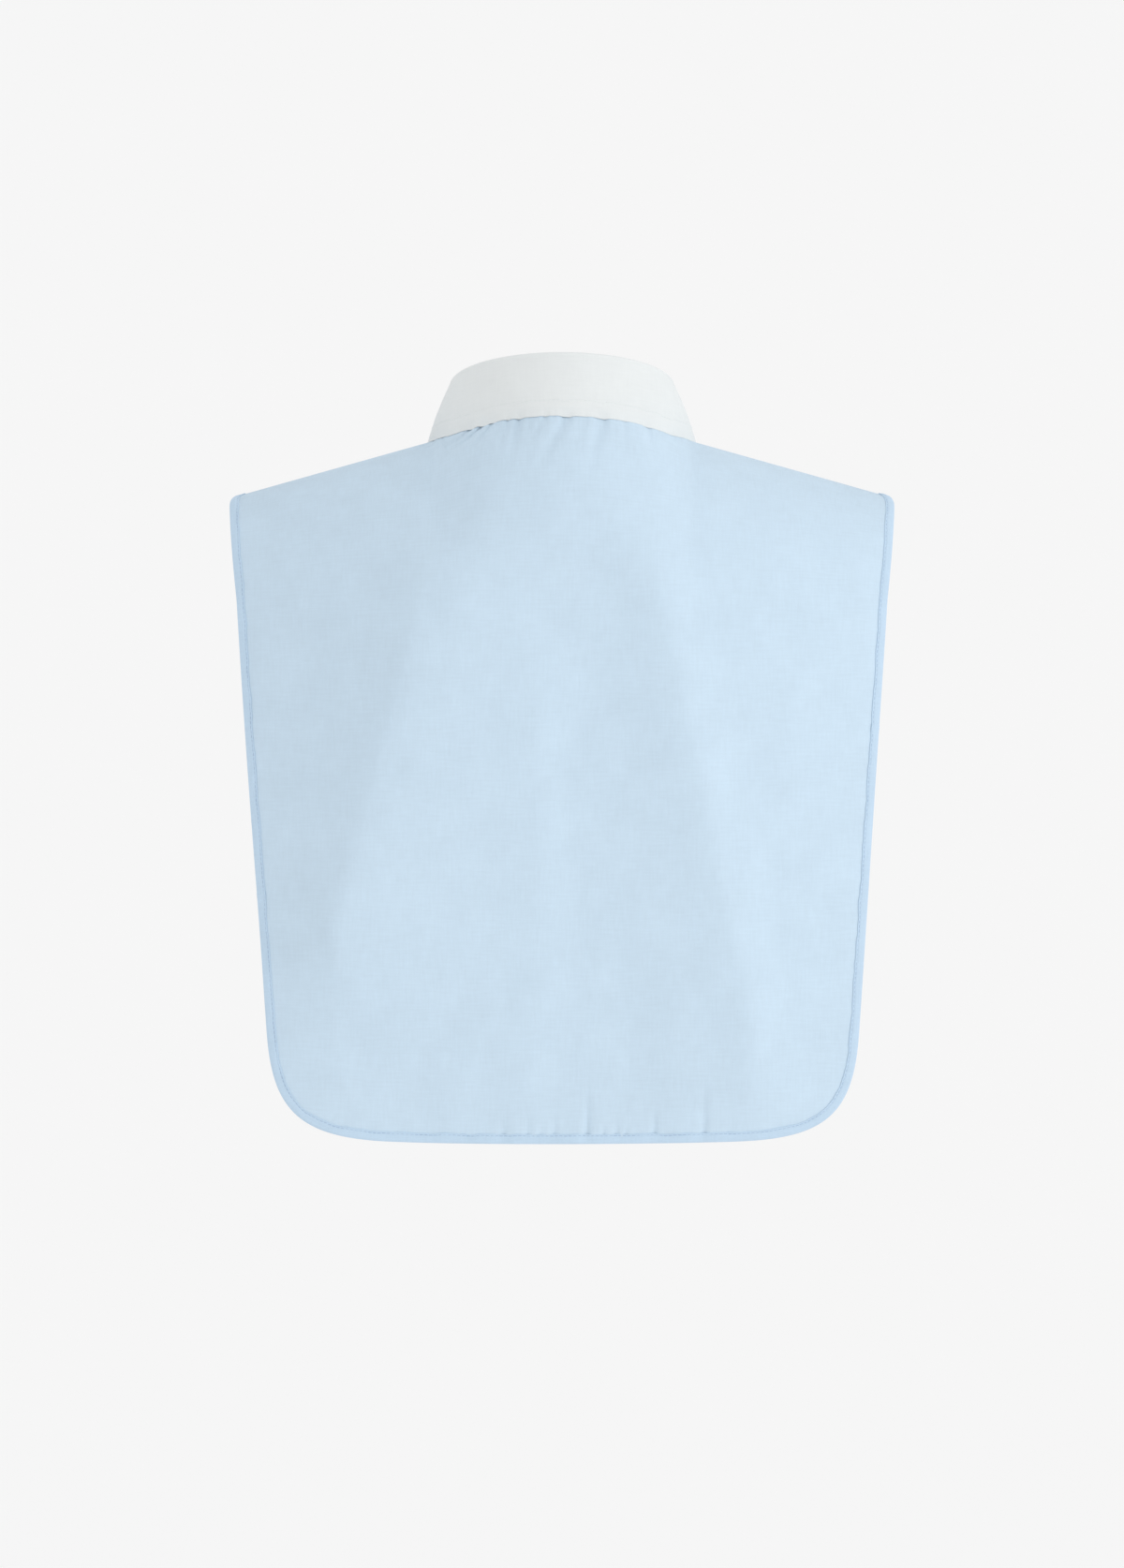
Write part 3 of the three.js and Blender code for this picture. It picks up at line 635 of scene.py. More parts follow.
def rounded_half(distance, half):
    """Half thickness at a distance from a rounded edge."""
    share = np.clip(distance / half, 0.0, 1.0)
    return half * np.maximum(np.sqrt(1.0 - (1.0 - share) ** 2), EDGE_THINNEST)


def edge_distances(points):
    """Distance of each grid point from the nearest border, along the grid's lines."""
    across, down = lengths_along(points, 0), lengths_along(points, 1)
    nearest_across = np.minimum(across, across[-1] - across)
    nearest_down = np.minimum(down, down[:, -1:] - down)
    return np.minimum(nearest_across, nearest_down)


def eased_shares(count, length, half):
    """Shares from 0 to 1 with extra steps close to both ends, for their rounding."""
    close = np.array(EDGE_SHARES) * half / length
    middle = np.linspace(close[-1], 1 - close[-1], count)
    return np.concatenate([close[:-1], middle, 1 - close[:-1][::-1]])


# Cloth surface: the solids' middle surface, with the relief of the folds, gathers, puckers and crumples
def smooth_step(low, high, value):
    t = np.clip((value - low) / (high - low), 0.0, 1.0)
    return t * t * (3.0 - 2.0 * t)


def bell(value, middle, width):
    return np.exp(-(((value - middle) / width) ** 2))


def body_depth(side, x):
    return side["depth"] - side["side_loss"] * (x / SIDE_REFERENCE) ** 2


def neck_reach(side, x):
    t = np.minimum(np.abs(x) / NECK_HALF_WIDTH, 1.0)
    return side["neck"] * np.sqrt(1.0 - t * t)


def rise_share(x, half_width):
    t = np.minimum(np.abs(x) / half_width, 1.0)
    return (1.0 - t**RISE_FLATNESS) ** RISE_FADE


def ridge_height(side, x):
    straight = RIDGE_START_HEIGHT - RIDGE_SLOPE * (np.hypot(x, NAPE_ROUNDING) - RIDGE_START)
    neck_rise = BACK["rise"] * rise_share(x, RISE_HALF_WIDTH)
    return straight + neck_rise + (side["rise"] - BACK["rise"]) * rise_share(x, NECK_HALF_WIDTH)


def height_at(side, x, travel):
    drop = side["drop"]
    curve = drop * (1.0 - np.cos(np.minimum(travel / drop, math.pi / 2)))
    return ridge_height(side, x) - curve - np.maximum(travel - drop * math.pi / 2, 0.0)


def travel_to(side, x, z):
    drop = side["drop"]
    below = ridge_height(side, x) - z
    round_part = drop * np.arccos(np.clip(1.0 - below / drop, 0.0, 1.0))
    return round_part + np.maximum(below - drop, 0.0)


def first_travel(side, x):
    seam = side["drop"] * np.arcsin(neck_reach(side, x) / body_depth(side, x))
    return np.maximum(seam, SHOULDER_SEAM_INSET)


def fold_relief(x, z):
    relief = 0.0
    for fold in BACK_FOLDS:
        (start_x, start_z), (end_x, end_z) = fold["start"], fold["end"]
        along = np.clip((start_z - z) / (start_z - end_z), 0.0, 1.0)
        middle = start_x + (end_x - start_x) * along
        fade = smooth_step(start_z + FOLD_FADE_ABOVE, start_z - FOLD_FADE_BELOW, z)
        fade = fade * smooth_step(end_z - FOLD_END_FADE, end_z, z)
        width = np.where(x > middle, *fold["widths"])
        crest = np.exp(-(np.abs((x - middle) / width) ** fold["power"]))
        relief = relief + fold["height"] * fade * crest
    return relief


def swing_share(x, z):
    return bell(x, SWING["across"], SWING["width"]) * smooth_step(*SWING["heights"], z)


def gather_relief(x, below):
    relief = 0.0
    for across, lean, width, height, reach in NECK_GATHERS:
        fade = 1.0 - smooth_step(GATHER_PEAK, GATHER_PEAK + reach, below)
        relief = relief + height * bell(x, across + lean * below, width) * fade
    return (relief + collar_puckers(x, below)) * smooth_step(0.0, GATHER_PEAK, below)


def collar_puckers(x, below):
    low, high = COLLAR_PUCKER_RANGE
    fade = COLLAR_PUCKER_FADE
    here = smooth_step(low - fade, low, x) * smooth_step(high + fade, high, x)
    waver = COLLAR_PUCKER_WAVER * np.sin(x / COLLAR_PUCKER_WAVER_RUN)
    wave = (1.0 + np.cos(2 * math.pi * x / COLLAR_PUCKER_PITCH + waver)) / 2
    return -COLLAR_PUCKER_DEPTH * wave**2 * here * (1.0 - smooth_step(*COLLAR_PUCKER_REACH, below))


def hem_relief(x, above):
    relief = HEM_FLARE * np.clip(1.0 - above / HEM_FLARE_RUN, 0.0, 1.0) ** 2
    for across, width, height, reach in HEM_PUCKERS:
        fade = 1.0 - smooth_step(HEM_PUCKER_PEAK, reach, above)
        relief = relief + height * bell(x, across, width) * fade
    return relief


def crumple(x, z):
    """Soft irregular unevenness of handled cloth: waves of many lengths and directions."""
    random = np.random.default_rng(CRUMPLE_SEED)
    relief = 0.0
    for _ in range(CRUMPLE_WAVES):
        angle, phase, bend = random.uniform(0, 2 * math.pi, 3)
        length = random.uniform(*CRUMPLE_LENGTHS)
        bent = CRUMPLE_BEND * np.sin((x + z) / CRUMPLE_BEND_RUN + bend)
        along = x * math.cos(angle) + z * math.sin(angle) + bent
        wave = CRUMPLE_SLOPE * length * np.sin(2 * math.pi * along / length + phase)
        relief = relief + wave / CRUMPLE_DIVISOR
    return relief


def body_point(side, x, travel, relief=0.0):
    """A point of the smooth body, pushed outwards by a relief."""
    z = height_at(side, x, travel)
    turn = np.minimum(travel / side["drop"], math.pi / 2)
    lean = side["lean"] * (np.minimum(z - LEAN_START, 0.0) / LEAN_RUN) ** 2
    spread = side["spread"] * (x / SIDE_REFERENCE) ** 2 * smooth_step(*SPREAD_RANGE, z)
    reach = body_depth(side, x) * np.sin(turn) - lean + spread + relief
    return np.stack([x, side["sign"] * reach, z], axis=-1)


def cloth_relief(side, x, travel):
    z = height_at(side, x, travel)
    turn = np.minimum(travel / side["drop"], math.pi / 2)
    below_neck = travel - first_travel(side, x)
    relief = crumple(x + CRUMPLE_BETWEEN_SIDES * side["sign"], z) * smooth_step(*CRUMPLE_FADE, below_neck)
    if side is BACK:
        relief = relief + (fold_relief(x, z) + SWING["height"] * swing_share(x, z)) * np.sin(turn)
        relief = relief + gather_relief(x, below_neck)
        relief = relief + hem_relief(x, z - hem_at(x))
    return relief


def cloth_point(side, x, travel):
    point = body_point(side, x, travel, cloth_relief(side, x, travel))
    if side is BACK:
        share = swing_share(x, point[..., 2]) ** 2
        point[..., 0] -= SWING["inwards"] * share
        point[..., 2] += SWING["upwards"] * share
    return point


def cloth_normal(side, x, travel, surface=cloth_point):
    """Outward direction of the cloth, from short steps towards the middle and down."""
    point = surface(side, x, travel)
    hand = np.where(x < 0, -1.0, 1.0)
    along_x = (point - surface(side, x - hand * NORMAL_STEP, travel)) * hand[..., None]
    along_travel = surface(side, x, travel + NORMAL_STEP) - point
    return unit(np.cross(along_x, along_travel)) * side["sign"]


def side_at(z, ridge):
    t = (z - FLARE_HEIGHT) / FLARE_RUN
    flare = FLARE * np.maximum(0.0, 1.0 - t * t)
    below = np.clip((ridge - z) / SHOULDER_CORNER, 0.0, 1.0)
    rounding = SHOULDER_CORNER * (1.0 - np.sqrt(1.0 - (1.0 - below) ** 2))
    return SIDE_AT_ORIGIN + SIDE_TAPER * z + flare - rounding


def hem_at(x):
    return HEM_HEIGHT + HEM_RISE * (x / HEM_RISE_REFERENCE) ** 2


def corner_curve(inset, shares):
    """Points of the rounded bottom corner, from the side line to the hem."""
    down = unit(np.array([-SIDE_TAPER, -1.0]))
    along = unit(np.array([1.0, 2 * HEM_RISE * CORNER_END / HEM_RISE_REFERENCE**2]))
    start = np.array([SIDE_AT_ORIGIN + SIDE_TAPER * CORNER_TOP - inset, CORNER_TOP])
    end = np.array([CORNER_END, hem_at(CORNER_END) + inset])
    pull_start = start + down * (CORNER_TOP_PULL - inset)
    pull_end = end + along * (CORNER_END_PULL - inset)
    t = shares[:, None]
    return (
        (1 - t) ** 3 * start
        + 3 * (1 - t) ** 2 * t * pull_start
        + 3 * (1 - t) * t**2 * pull_end
        + t**3 * end
    )


# Panels
def panel_edge_at(z, ridge=math.inf):
    """Where a panel ends across, inside the outline, at a height."""
    return side_at(z, ridge) - EDGE_INSET


def panel_columns(inner_edge, neck_steps):
    """Shares of the half width, and the foot of each column on the outline."""
    first_turn = math.asin(inner_edge / NECK_HALF_WIDTH)
    hem_width = panel_edge_at(HEM_HEIGHT)
    neck_share = NECK_HALF_WIDTH / panel_edge_at(ridge_height(BACK, NECK_HALF_WIDTH))
    corner_share = CORNER_END / panel_edge_at(hem_at(CORNER_END))
    even = np.linspace(inner_edge / NECK_HALF_WIDTH, 1, neck_steps + 1)
    bunched = np.sin(np.linspace(first_turn, math.pi / 2, neck_steps + 1))
    neck = neck_share * (even + bunched) / 2
    middle = np.linspace(neck_share, corner_share, MIDDLE_STEPS + 1)[1:-1]
    shares = np.concatenate([neck, middle])
    feet = np.stack([shares * hem_width, hem_at(shares * hem_width) + EDGE_INSET], axis=-1)
    corner = corner_curve(EDGE_INSET, np.linspace(1, 0, CORNER_STEPS + 1))
    corner_shares = corner[:, 0] / panel_edge_at(corner[:, 1])
    return np.concatenate([shares, corner_shares]), np.concatenate([feet, corner])


def panel_places(side, shares, feet, rows, inner_edge, neck_steps):
    """Positions across and travels down the cloth for half a panel."""
    top = shares * panel_edge_at(0.0)
    for _ in range(SETTLE_ROUNDS):
        height = height_at(side, top, first_travel(side, top))
        top = shares * panel_edge_at(height, ridge_height(side, top))
    ridge = ridge_height(side, top)
    last = travel_to(side, feet[:, 0], feet[:, 1])
    first = first_travel(side, top)
    steps = np.linspace(0, 1, rows)
    steps = steps - ROW_BUNCHING * np.sin(2 * math.pi * steps)
    travel = first[:, None] + (last - first)[:, None] * steps[None, :]
    x = np.repeat(top[:, None], rows, axis=1)
    for _ in range(SETTLE_ROUNDS):
        x = shares[:, None] * panel_edge_at(height_at(side, x, travel), ridge[:, None])
    x[:, 0] = top
    x[:, -1] = feet[:, 0]
    fade = np.clip(1.0 - np.arange(len(shares)) / neck_steps, 0.0, 1.0)
    x = x + (inner_edge - x[0])[None, :] * fade[:, None]
    travel[:, -1] = travel_to(side, x[:, -1], feet[:, 1])
    return x, travel


def half_places(side, rows, inner_edge, neck_steps):
    return panel_places(side, *panel_columns(inner_edge, neck_steps), rows, inner_edge, neck_steps)


def back_places():
    x, travel = half_places(BACK, BACK_ROWS, 0.0, BACK_NECK_STEPS)
    return np.concatenate([-x[:0:-1], x]), np.concatenate([travel[:0:-1], travel])


def front_places(hand):
    """Places of a front panel in the order that faces its grid outwards."""
    x, travel = half_places(FRONT, FRONT_ROWS, PANEL_INNER_EDGE, FRONT_NECK_STEPS)
    return (-x, travel) if hand < 0 else (x[::-1], travel[::-1])


def level_grain(side, x, travel):
    """Cloth coordinates whose threads run straight down and level, as on cloth cut on the straight."""
    return np.stack([x, travel - ridge_height(side, x)], axis=-1)


def add_panels(material):
    """The three panels, and each one's grid of points and outward directions."""
    places = {
        "back_panel": (BACK, *back_places()),
        "front_panel_right": (FRONT, *front_places(-1)),
        "front_panel_left": (FRONT, *front_places(1)),
    }
    grids = []
    for node, place in places.items():
        points, normals = cloth_point(*place), cloth_normal(*place)
        shape = closed_sheet(points, PANEL_HALF, normals, level_grain(*place))
        piece = add_piece(f"{node}_cloth", shape, material, "bib_cloth", node)
        grids.append((points, normals))
    return grids


# Binding
def wander(length, count, seed):
    """Heights of a smooth random line, about 1 high, at even steps over a length."""
    random = np.random.default_rng(seed)
    s = np.linspace(0, length, count)
    waves = []
    for _ in range(WANDER_WAVES):
        pitch = random.uniform(*WANDER_PITCHES)
        phase = random.uniform(0, WANDER_PHASE)
        waves.append(np.sin(2 * math.pi * s / pitch + phase))
    return np.sum(waves, axis=0) / math.sqrt(WANDER_WAVES / 2)


def even_steps(points, step):
    """Even steps along a line, and the distance along it of each of its points."""
    lengths = lengths_along(points)
    return np.linspace(0, lengths[-1], int(lengths[-1] / step) + 1), lengths


def follow(s, lengths, values):
    return np.stack([np.interp(s, lengths, values[:, axis]) for axis in range(3)], axis=-1)


def smoothed(values, width):
    kernel = np.ones(width) / width
    padded = np.pad(values, ((width // 2, width // 2), (0, 0)), mode="edge")
    return np.stack([np.convolve(padded[:, axis], kernel, "valid") for axis in range(3)], axis=-1)


def outer_edge(back, right, left):
    """Values of three grids along the edge from the right front's hem round to the left front's hem."""
    return np.concatenate([
        right[:, -1],
        right[-1, -2::-1],
        back[0, 1:-1],
        back[:, -1],
        back[-1, -2::-1],
        left[0, 1:-1],
        left[:, -1],
    ])


def binding_profile():
    """Section of the binding: how far in from its outer edge, and how far out from the cloth's middle."""
    width, half = BINDING_WIDTH, BINDING_HALF
    steps = np.array(BINDING_SECTION)
    inwards = width - steps
    corner = BINDING_EDGE_ROUNDING
    out = half - corner * (1 - np.sqrt(1 - (1 - np.clip(steps / corner, 0, 1)) ** 2))
    out = out - BINDING_DIMPLE * bell(steps, BINDING_STITCH_INSET, BINDING_DIMPLE_WIDTH)
    angles = np.linspace(math.pi / 2, -math.pi / 2, NOSE_STEPS)[1:-1]
    nose_in = (width - BINDING_FLAT) * (1 - np.cos(angles))
    nose_out = half * np.sin(angles)
    mouth = width - BINDING_SLOT_MOUTH
    slot_in = [mouth, BINDING_SLOT_END, BINDING_SLOT_END, mouth]
    slot_out = [-BINDING_SLOT, -BINDING_SLOT, BINDING_SLOT, BINDING_SLOT]
    ring_in = np.concatenate([inwards, nose_in, inwards[::-1], slot_in])
    ring_out = np.concatenate([out, nose_out, -out[::-1], slot_out])
    return ring_in, ring_out


def swept_sections(sections, s):
    """A closed strip through rings of points, with flat ends."""
    count, ring = sections.shape[:2]
    along = np.repeat(s[:, None], ring, axis=1)
    uv = np.stack([lengths_along(sections, 1), along], axis=-1).reshape(-1, 2)
    return sections.reshape(-1, 3), ring_faces(count, ring), uv


def add_binding(path, normals, cloth, thread):
    s, lengths = even_steps(path, BINDING_STEP)
    points = smoothed(follow(s, lengths, path), BINDING_SMOOTHING)
    along = unit(np.gradient(points, axis=0))
    normal = smoothed(follow(s, lengths, normals), BINDING_SMOOTHING)
    normal = unit(normal - along * np.sum(normal * along, axis=-1, keepdims=True))
    inward = unit(np.cross(along, normal))
    ring_in, ring_out = binding_profile()
    waver = BINDING_WAVER * wander(s[-1], len(s), BINDING_WAVER_SEED)[:, None]
    inwards = (ring_in + waver * (ring_in / BINDING_WIDTH) ** 2 - EDGE_INSET)[..., None]
    belly = np.sin(math.pi * np.clip(ring_in / BINDING_WIDTH, 0, 1))
    pucker = BINDING_PUCKER * wander(s[-1], len(s), BINDING_PUCKER_SEED)[:, None] * belly
    lift = pucker + lap_rise(points)[:, None] * (np.abs(ring_out) > BINDING_SLOT)
    out = (ring_out + np.sign(ring_out) * lift)[..., None]
    sections = points[:, None] + inward[:, None] * inwards + normal[:, None] * out
    shape = swept_sections(sections, s)
    piece = add_piece("edge_binding_cloth", shape, cloth, "binding_cloth", "edge_binding")
    stitches = add_binding_stitches(s, points, along, normal, inward, thread)


def lap_rise(points):
    """Extra height where the end of the binding laps over its start."""
    rise = np.zeros(len(points))
    for hand, height in BINDING_JOINS:
        below = height - points[:, 2]
        behind = (points[:, 1] > 0) & (np.sign(points[:, 0]) == hand)
        here = behind & (below > 0) & (below < LAP_LENGTH)
        rise[here] = LAP_RISE * (1.0 - below[here] / LAP_LENGTH)
    return rise


def add_binding_stitches(s, points, along, normal, inward, material):
    centres = np.arange(STITCH_PITCH, s[-1] - STITCH_PITCH, STITCH_PITCH)
    lines = (points, along, normal, inward)
    place, direction, outward, inside = [follow(centres, s, line) for line in lines]
    waver = BINDING_WAVER * np.interp(centres, s, wander(s[-1], len(s), BINDING_WAVER_SEED))
    inset = BINDING_WIDTH - BINDING_STITCH_INSET + waver * BINDING_STITCH_FOLLOWS - EDGE_INSET
    lift = BINDING_HALF - BINDING_DIMPLE
    shapes = []
    for hand in (1, -1):
        seats = place + inside * inset[:, None] + outward * (hand * lift)
        shapes.append((seats, direction, outward * hand))
    return add_stitches("binding_stitches", shapes, material, "binding_cloth")


# Stitches
def stitch_template(length, width, height):
    """One stitch as local along, across and up positions of its rings."""
    angles = 2 * math.pi * np.arange(RING_SIDES) / RING_SIDES
    along = np.repeat(RING_PLACES * length / 2, RING_SIDES)
    across = np.outer(RING_SIZES, np.cos(angles)).ravel() * width / 2
    up = (np.outer(RING_SIZES, np.sin(angles)) + RING_SINKS[:, None]).ravel() * height
    return along, across, up


def stitch_faces(count):
    faces = ring_faces(len(RING_PLACES), RING_SIDES)
    each = len(RING_PLACES) * RING_SIDES
    return [[index + k * each for index in face] for k in range(count) for face in faces]


def stitch_vertices(seats, direction, outward, size):
    along, across, up = stitch_template(*size)
    sideways = unit(np.cross(outward, direction))
    return (
        seats[:, None]
        + direction[:, None] * along[None, :, None]
        + sideways[:, None] * across[None, :, None]
        + outward[:, None] * up[None, :, None]
    ).reshape(-1, 3)


def add_stitches(name, shapes, material, slot, size=SEAM_STITCH):
    vertices = np.concatenate([stitch_vertices(*shape, size) for shape in shapes])
    count = sum(len(seats) for seats, _, _ in shapes)
    return add_piece(name, (vertices, stitch_faces(count), None), material, slot)


def repeated(seats, direction, outward):
    """Stitches at several seats that share one direction and one outward direction."""
    return seats, np.tile(direction, (len(seats), 1)), np.tile(outward, (len(seats), 1))


def stitch_line(points, outward):
    """Seats, directions and outward directions of stitches along a line."""
    lengths = lengths_along(points)
    centres = np.arange(STITCH_PITCH, lengths[-1] - STITCH_PITCH, STITCH_PITCH)
    seats = follow(centres, lengths, points)
    direction = unit(np.gradient(seats, axis=0))
    normals = unit(follow(centres, lengths, outward))
    return seats, direction, normals


# Front closing
def strip_places(across):
    last = travel_to(FRONT, across, HEM_HEIGHT)
    first = first_travel(FRONT, across)
    rows = eased_shares(STRIP_DOWN_STEPS, float(np.mean(last - first)), STRIP_HALF)
    return first[:, None] + (last - first)[:, None] * rows[None, :]


def strip_points(level):
    width = 2 * PLACKET_HALF_WIDTH
    across = -PLACKET_HALF_WIDTH + width * eased_shares(STRIP_ACROSS_STEPS, width, STRIP_HALF)
    travel = strip_places(across)
    middle = cloth_point(FRONT, np.repeat(across[:, None], travel.shape[1], axis=1), travel)
    normals = -grid_normals(middle)
    return middle + normals * level, normals


def add_closing(cloth, thread):
    for node, height in (("buttonhole_placket", STRIP_LEVEL), ("button_band", -STRIP_LEVEL)):
        points, normals = strip_points(height)
        shape = closed_sheet(points[::-1], rounded_half(edge_distances(points)[::-1], STRIP_HALF))
        add_piece(f"{node}_cloth", shape, cloth, "bib_cloth", node)
    points, normals = strip_points(STRIP_LEVEL)
    inside = slice(EDGE_STEPS, -EDGE_STEPS)
    lines = []
    for column in PLACKET_STITCH_COLUMNS:
        seats = points[column] + normals[column] * STRIP_HALF
        lines.append(stitch_line(seats[inside], normals[column][inside]))
    stitches = add_stitches("placket_stitches", lines, thread, "bib_cloth")
    holes = add_buttonholes(points, normals, thread)


def node_centre(name):
    low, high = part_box(name)
    return (np.array(low) + np.array(high)) / 2 / MM


def strip_seat(points, normals, height):
    """Place, downward and outward directions on the upper strip's middle line at a height."""
    column = points.shape[0] // 2
    line, outward = points[column], normals[column]
    order = np.argsort(line[:, 2])
    seat = follow(height, line[order, 2], line[order])
    out = unit(follow(height, line[order, 2], outward[order]))
    down = unit(np.cross([1.0, 0.0, 0.0], out))
    down = down if down[2] < 0 else -down
    return seat + out * STRIP_HALF, down, out


def buttonhole_shapes(seat, down, out):
    """Stitches up both sides of a buttonhole and the bars across its ends."""
    across = unit(np.cross(out, down))
    half_length = BUTTONHOLE_LENGTH / 2
    bar_half = BUTTONHOLE_HALF_WIDTH + BUTTONHOLE_BAR_REACH
    sides = np.arange(-half_length, half_length + LAST_STEP_MARGIN, BUTTONHOLE_PITCH)[:, None]
    bars = np.arange(-bar_half, bar_half + LAST_STEP_MARGIN, BUTTONHOLE_BAR_PITCH)[:, None]
    shapes = []
    for hand in (1, -1):
        seats = seat + down * sides + across * (hand * BUTTONHOLE_HALF_WIDTH)
        shapes.append(repeated(seats, across, out))
    for end in (-1, 1):
        seats = seat + across * bars + down * (end * (half_length + BUTTONHOLE_BAR_OFFSET))
        shapes.append(repeated(seats, down, out))
    return shapes


def add_buttonholes(points, normals, thread):
    shapes = []
    for i in range(BUTTON_COUNT):
        height = node_centre(f"placket_button_{i + 1}")[2]
        shapes.extend(buttonhole_shapes(*strip_seat(points, normals, height)))
    return add_stitches("buttonhole_stitches", shapes, thread, "bib_cloth", BUTTONHOLE_STITCH)


# Buttons
def button_heights(x, y):
    """Height of the button's upper face: a rounded rim, a dished middle and four holes."""
    radius = np.hypot(x, y)
    inner = BUTTON_RADIUS - BUTTON_RIM
    edge = np.clip((radius - inner) / BUTTON_RIM, 0, 1)
    rim = np.sqrt(np.maximum(1 - np.maximum(edge * 2 - 1, 0) ** 2, 0))
    dish = BUTTON_DISH * (1 - smooth_step(inner - BUTTON_DISH_SLOPE, inner, radius))
    height = (BUTTON_THICKNESS - BUTTON_ROUNDING) + BUTTON_ROUNDING * rim - dish
    for across, up in ((1, 1), (-1, 1), (-1, -1), (1, -1)):
        away = np.hypot(x - across * BUTTON_HOLE_SPREAD, y - up * BUTTON_HOLE_SPREAD)
        height = height - BUTTON_HOLE_DEPTH * (1 - smooth_step(*BUTTON_HOLE_WALL, away))
    return height


def button_shape(seat, down, out):
    radii = BUTTON_RADIUS * np.linspace(BUTTON_MIDDLE, 1, BUTTON_RINGS)
    angles = 2 * math.pi * np.arange(BUTTON_SPOKES) / BUTTON_SPOKES
    x = np.outer(radii, np.cos(angles))
    y = np.outer(radii, np.sin(angles))
    top = np.stack([x, y, button_heights(x, y)], axis=-1)
    under_radii = BUTTON_RADIUS * np.array([0.985, 0.93, 0.8, 0.4, BUTTON_MIDDLE])
    under_heights = np.array([0.55, 0.2, 0.0, 0.0, 0.0])
    under = np.stack([
        np.outer(under_radii, np.cos(angles)),
        np.outer(under_radii, np.sin(angles)),
        np.repeat(under_heights[:, None], BUTTON_SPOKES, axis=1),
    ], axis=-1)
    local = np.concatenate([top, under])
    across = unit(np.cross(down, out))
    vertices = seat + local[..., :1] * across + local[..., 1:2] * down + local[..., 2:] * out
    return vertices.reshape(-1, 3), ring_faces(len(local), BUTTON_SPOKES, flipped=True), None


def thread_bars(seat, down, out):
    """Threads that cross the button between opposite holes."""
    across = unit(np.cross(down, out))
    height = BUTTON_THICKNESS - BUTTON_DISH + BUTTON_THREAD_LIFT
    shapes = []
    for hand in (1, -1):
        line = unit(across + hand * down)
        sideways = unit(np.cross(out, line))
        middle = seat + out * (height + BUTTON_THREAD_CROSSING * (hand > 0))
        seats = middle + sideways * np.array(BUTTON_THREAD_PLACES)[:, None]
        shapes.append(repeated(seats, line, out))
    return shapes


def add_buttons(pearl, thread):
    points, normals = strip_points(STRIP_LEVEL)
    places = {}
    for i in range(BUTTON_COUNT):
        node = f"placket_button_{i + 1}"
        seat, down, out = strip_seat(points, normals, node_centre(node)[2])
        places[node] = (seat + out * BUTTON_CLEARANCE, down, out)
    places["collar_button"] = collar_button_place()
    threads = []
    for node, place in places.items():
        add_piece(f"{node}_pearl", button_shape(*place), pearl, "button", node)
        threads.extend(thread_bars(*place))
    add_stitches("button_threads", threads, thread, "button", BUTTON_THREAD)


def collar_button_place():
    """Place, downward and outward directions of the button on the stand's front."""
    foot, top, _ = stand_lines(np.array([-math.pi]))
    up = unit(top[0] - foot[0])
    out = unit(np.cross(up, [-1.0, 0.0, 0.0]))
    out = out if out[1] < 0 else -out
    return node_centre("collar_button") - out * (BUTTON_THICKNESS / 2), -up, out


# Collar
def ring_point(turn, half_width, back_depth, front_depth):
    across, back = np.sin(turn), np.cos(turn)
    depth = np.where(back > 0, back_depth, front_depth)
    out = 1.0 / np.hypot(across / half_width, back / depth)
    return across * out, back * out


def seam_point(turn):
    x, y = ring_point(turn, NECK_HALF_WIDTH, BACK["neck"], FRONT["neck"])
    heights = []
    for side in (BACK, FRONT):
        share = np.clip(np.abs(y) / body_depth(side, x), 0, 1)
        heights.append(height_at(side, x, side["drop"] * np.arcsin(share)))
    return np.stack([x, y, np.where(y > 0, heights[0], heights[1])], axis=-1)


def fold_point(turn):
    x, y = ring_point(turn, FOLD_HALF_WIDTH, FOLD_BACK_DEPTH, FOLD_FRONT_DEPTH)
    t = np.where(y > 0, y / FOLD_BACK_DEPTH, y / FOLD_FRONT_DEPTH)
    z = FOLD_SIDE_HEIGHT + FOLD_TILT * t - np.where(t < 0, FOLD_THROAT_DROP * t * t, 0.0)
    return np.stack([x, y, z], axis=-1)


def ring_outward(turn):
    along = fold_point(turn + TURN_STEP) - fold_point(turn - TURN_STEP)
    return unit(np.stack([-along[:, 1], along[:, 0], np.zeros(len(turn))], axis=-1))


def stand_lines(turn):
    """Foot and top of the stand's middle surface: its ends cross in front, the right one outside."""
    degrees = np.degrees(np.abs(turn))
    outward = ring_outward(turn)
    crossing = smooth_step(*STAND_CROSSING, degrees) * (STAND_THICKNESS + GAP) / 2
    shift = outward * (-np.sign(turn) * crossing)[:, None]
    lift = smooth_step(*STAND_LIFT, degrees) * (STRIP_THICKNESS + GAP / 2 - CAD_PANEL_THICKNESS / 2)
    foot = seam_point(turn) + shift
    foot[:, 2] += CAD_PANEL_THICKNESS / 2 + GAP + lift
    top = fold_point(turn) + shift
    top[:, 2] -= LIP_DEPTH + GAP
    from_end = np.clip((180 + STAND_OVERLAP_TURN - degrees) / STAND_END_ROUNDING, 0, 1)
    share = STAND_END_SHARE + (1 - STAND_END_SHARE) * np.sqrt(1 - (1 - from_end) ** 2)
    return foot, foot + (top - foot) * share[:, None], outward


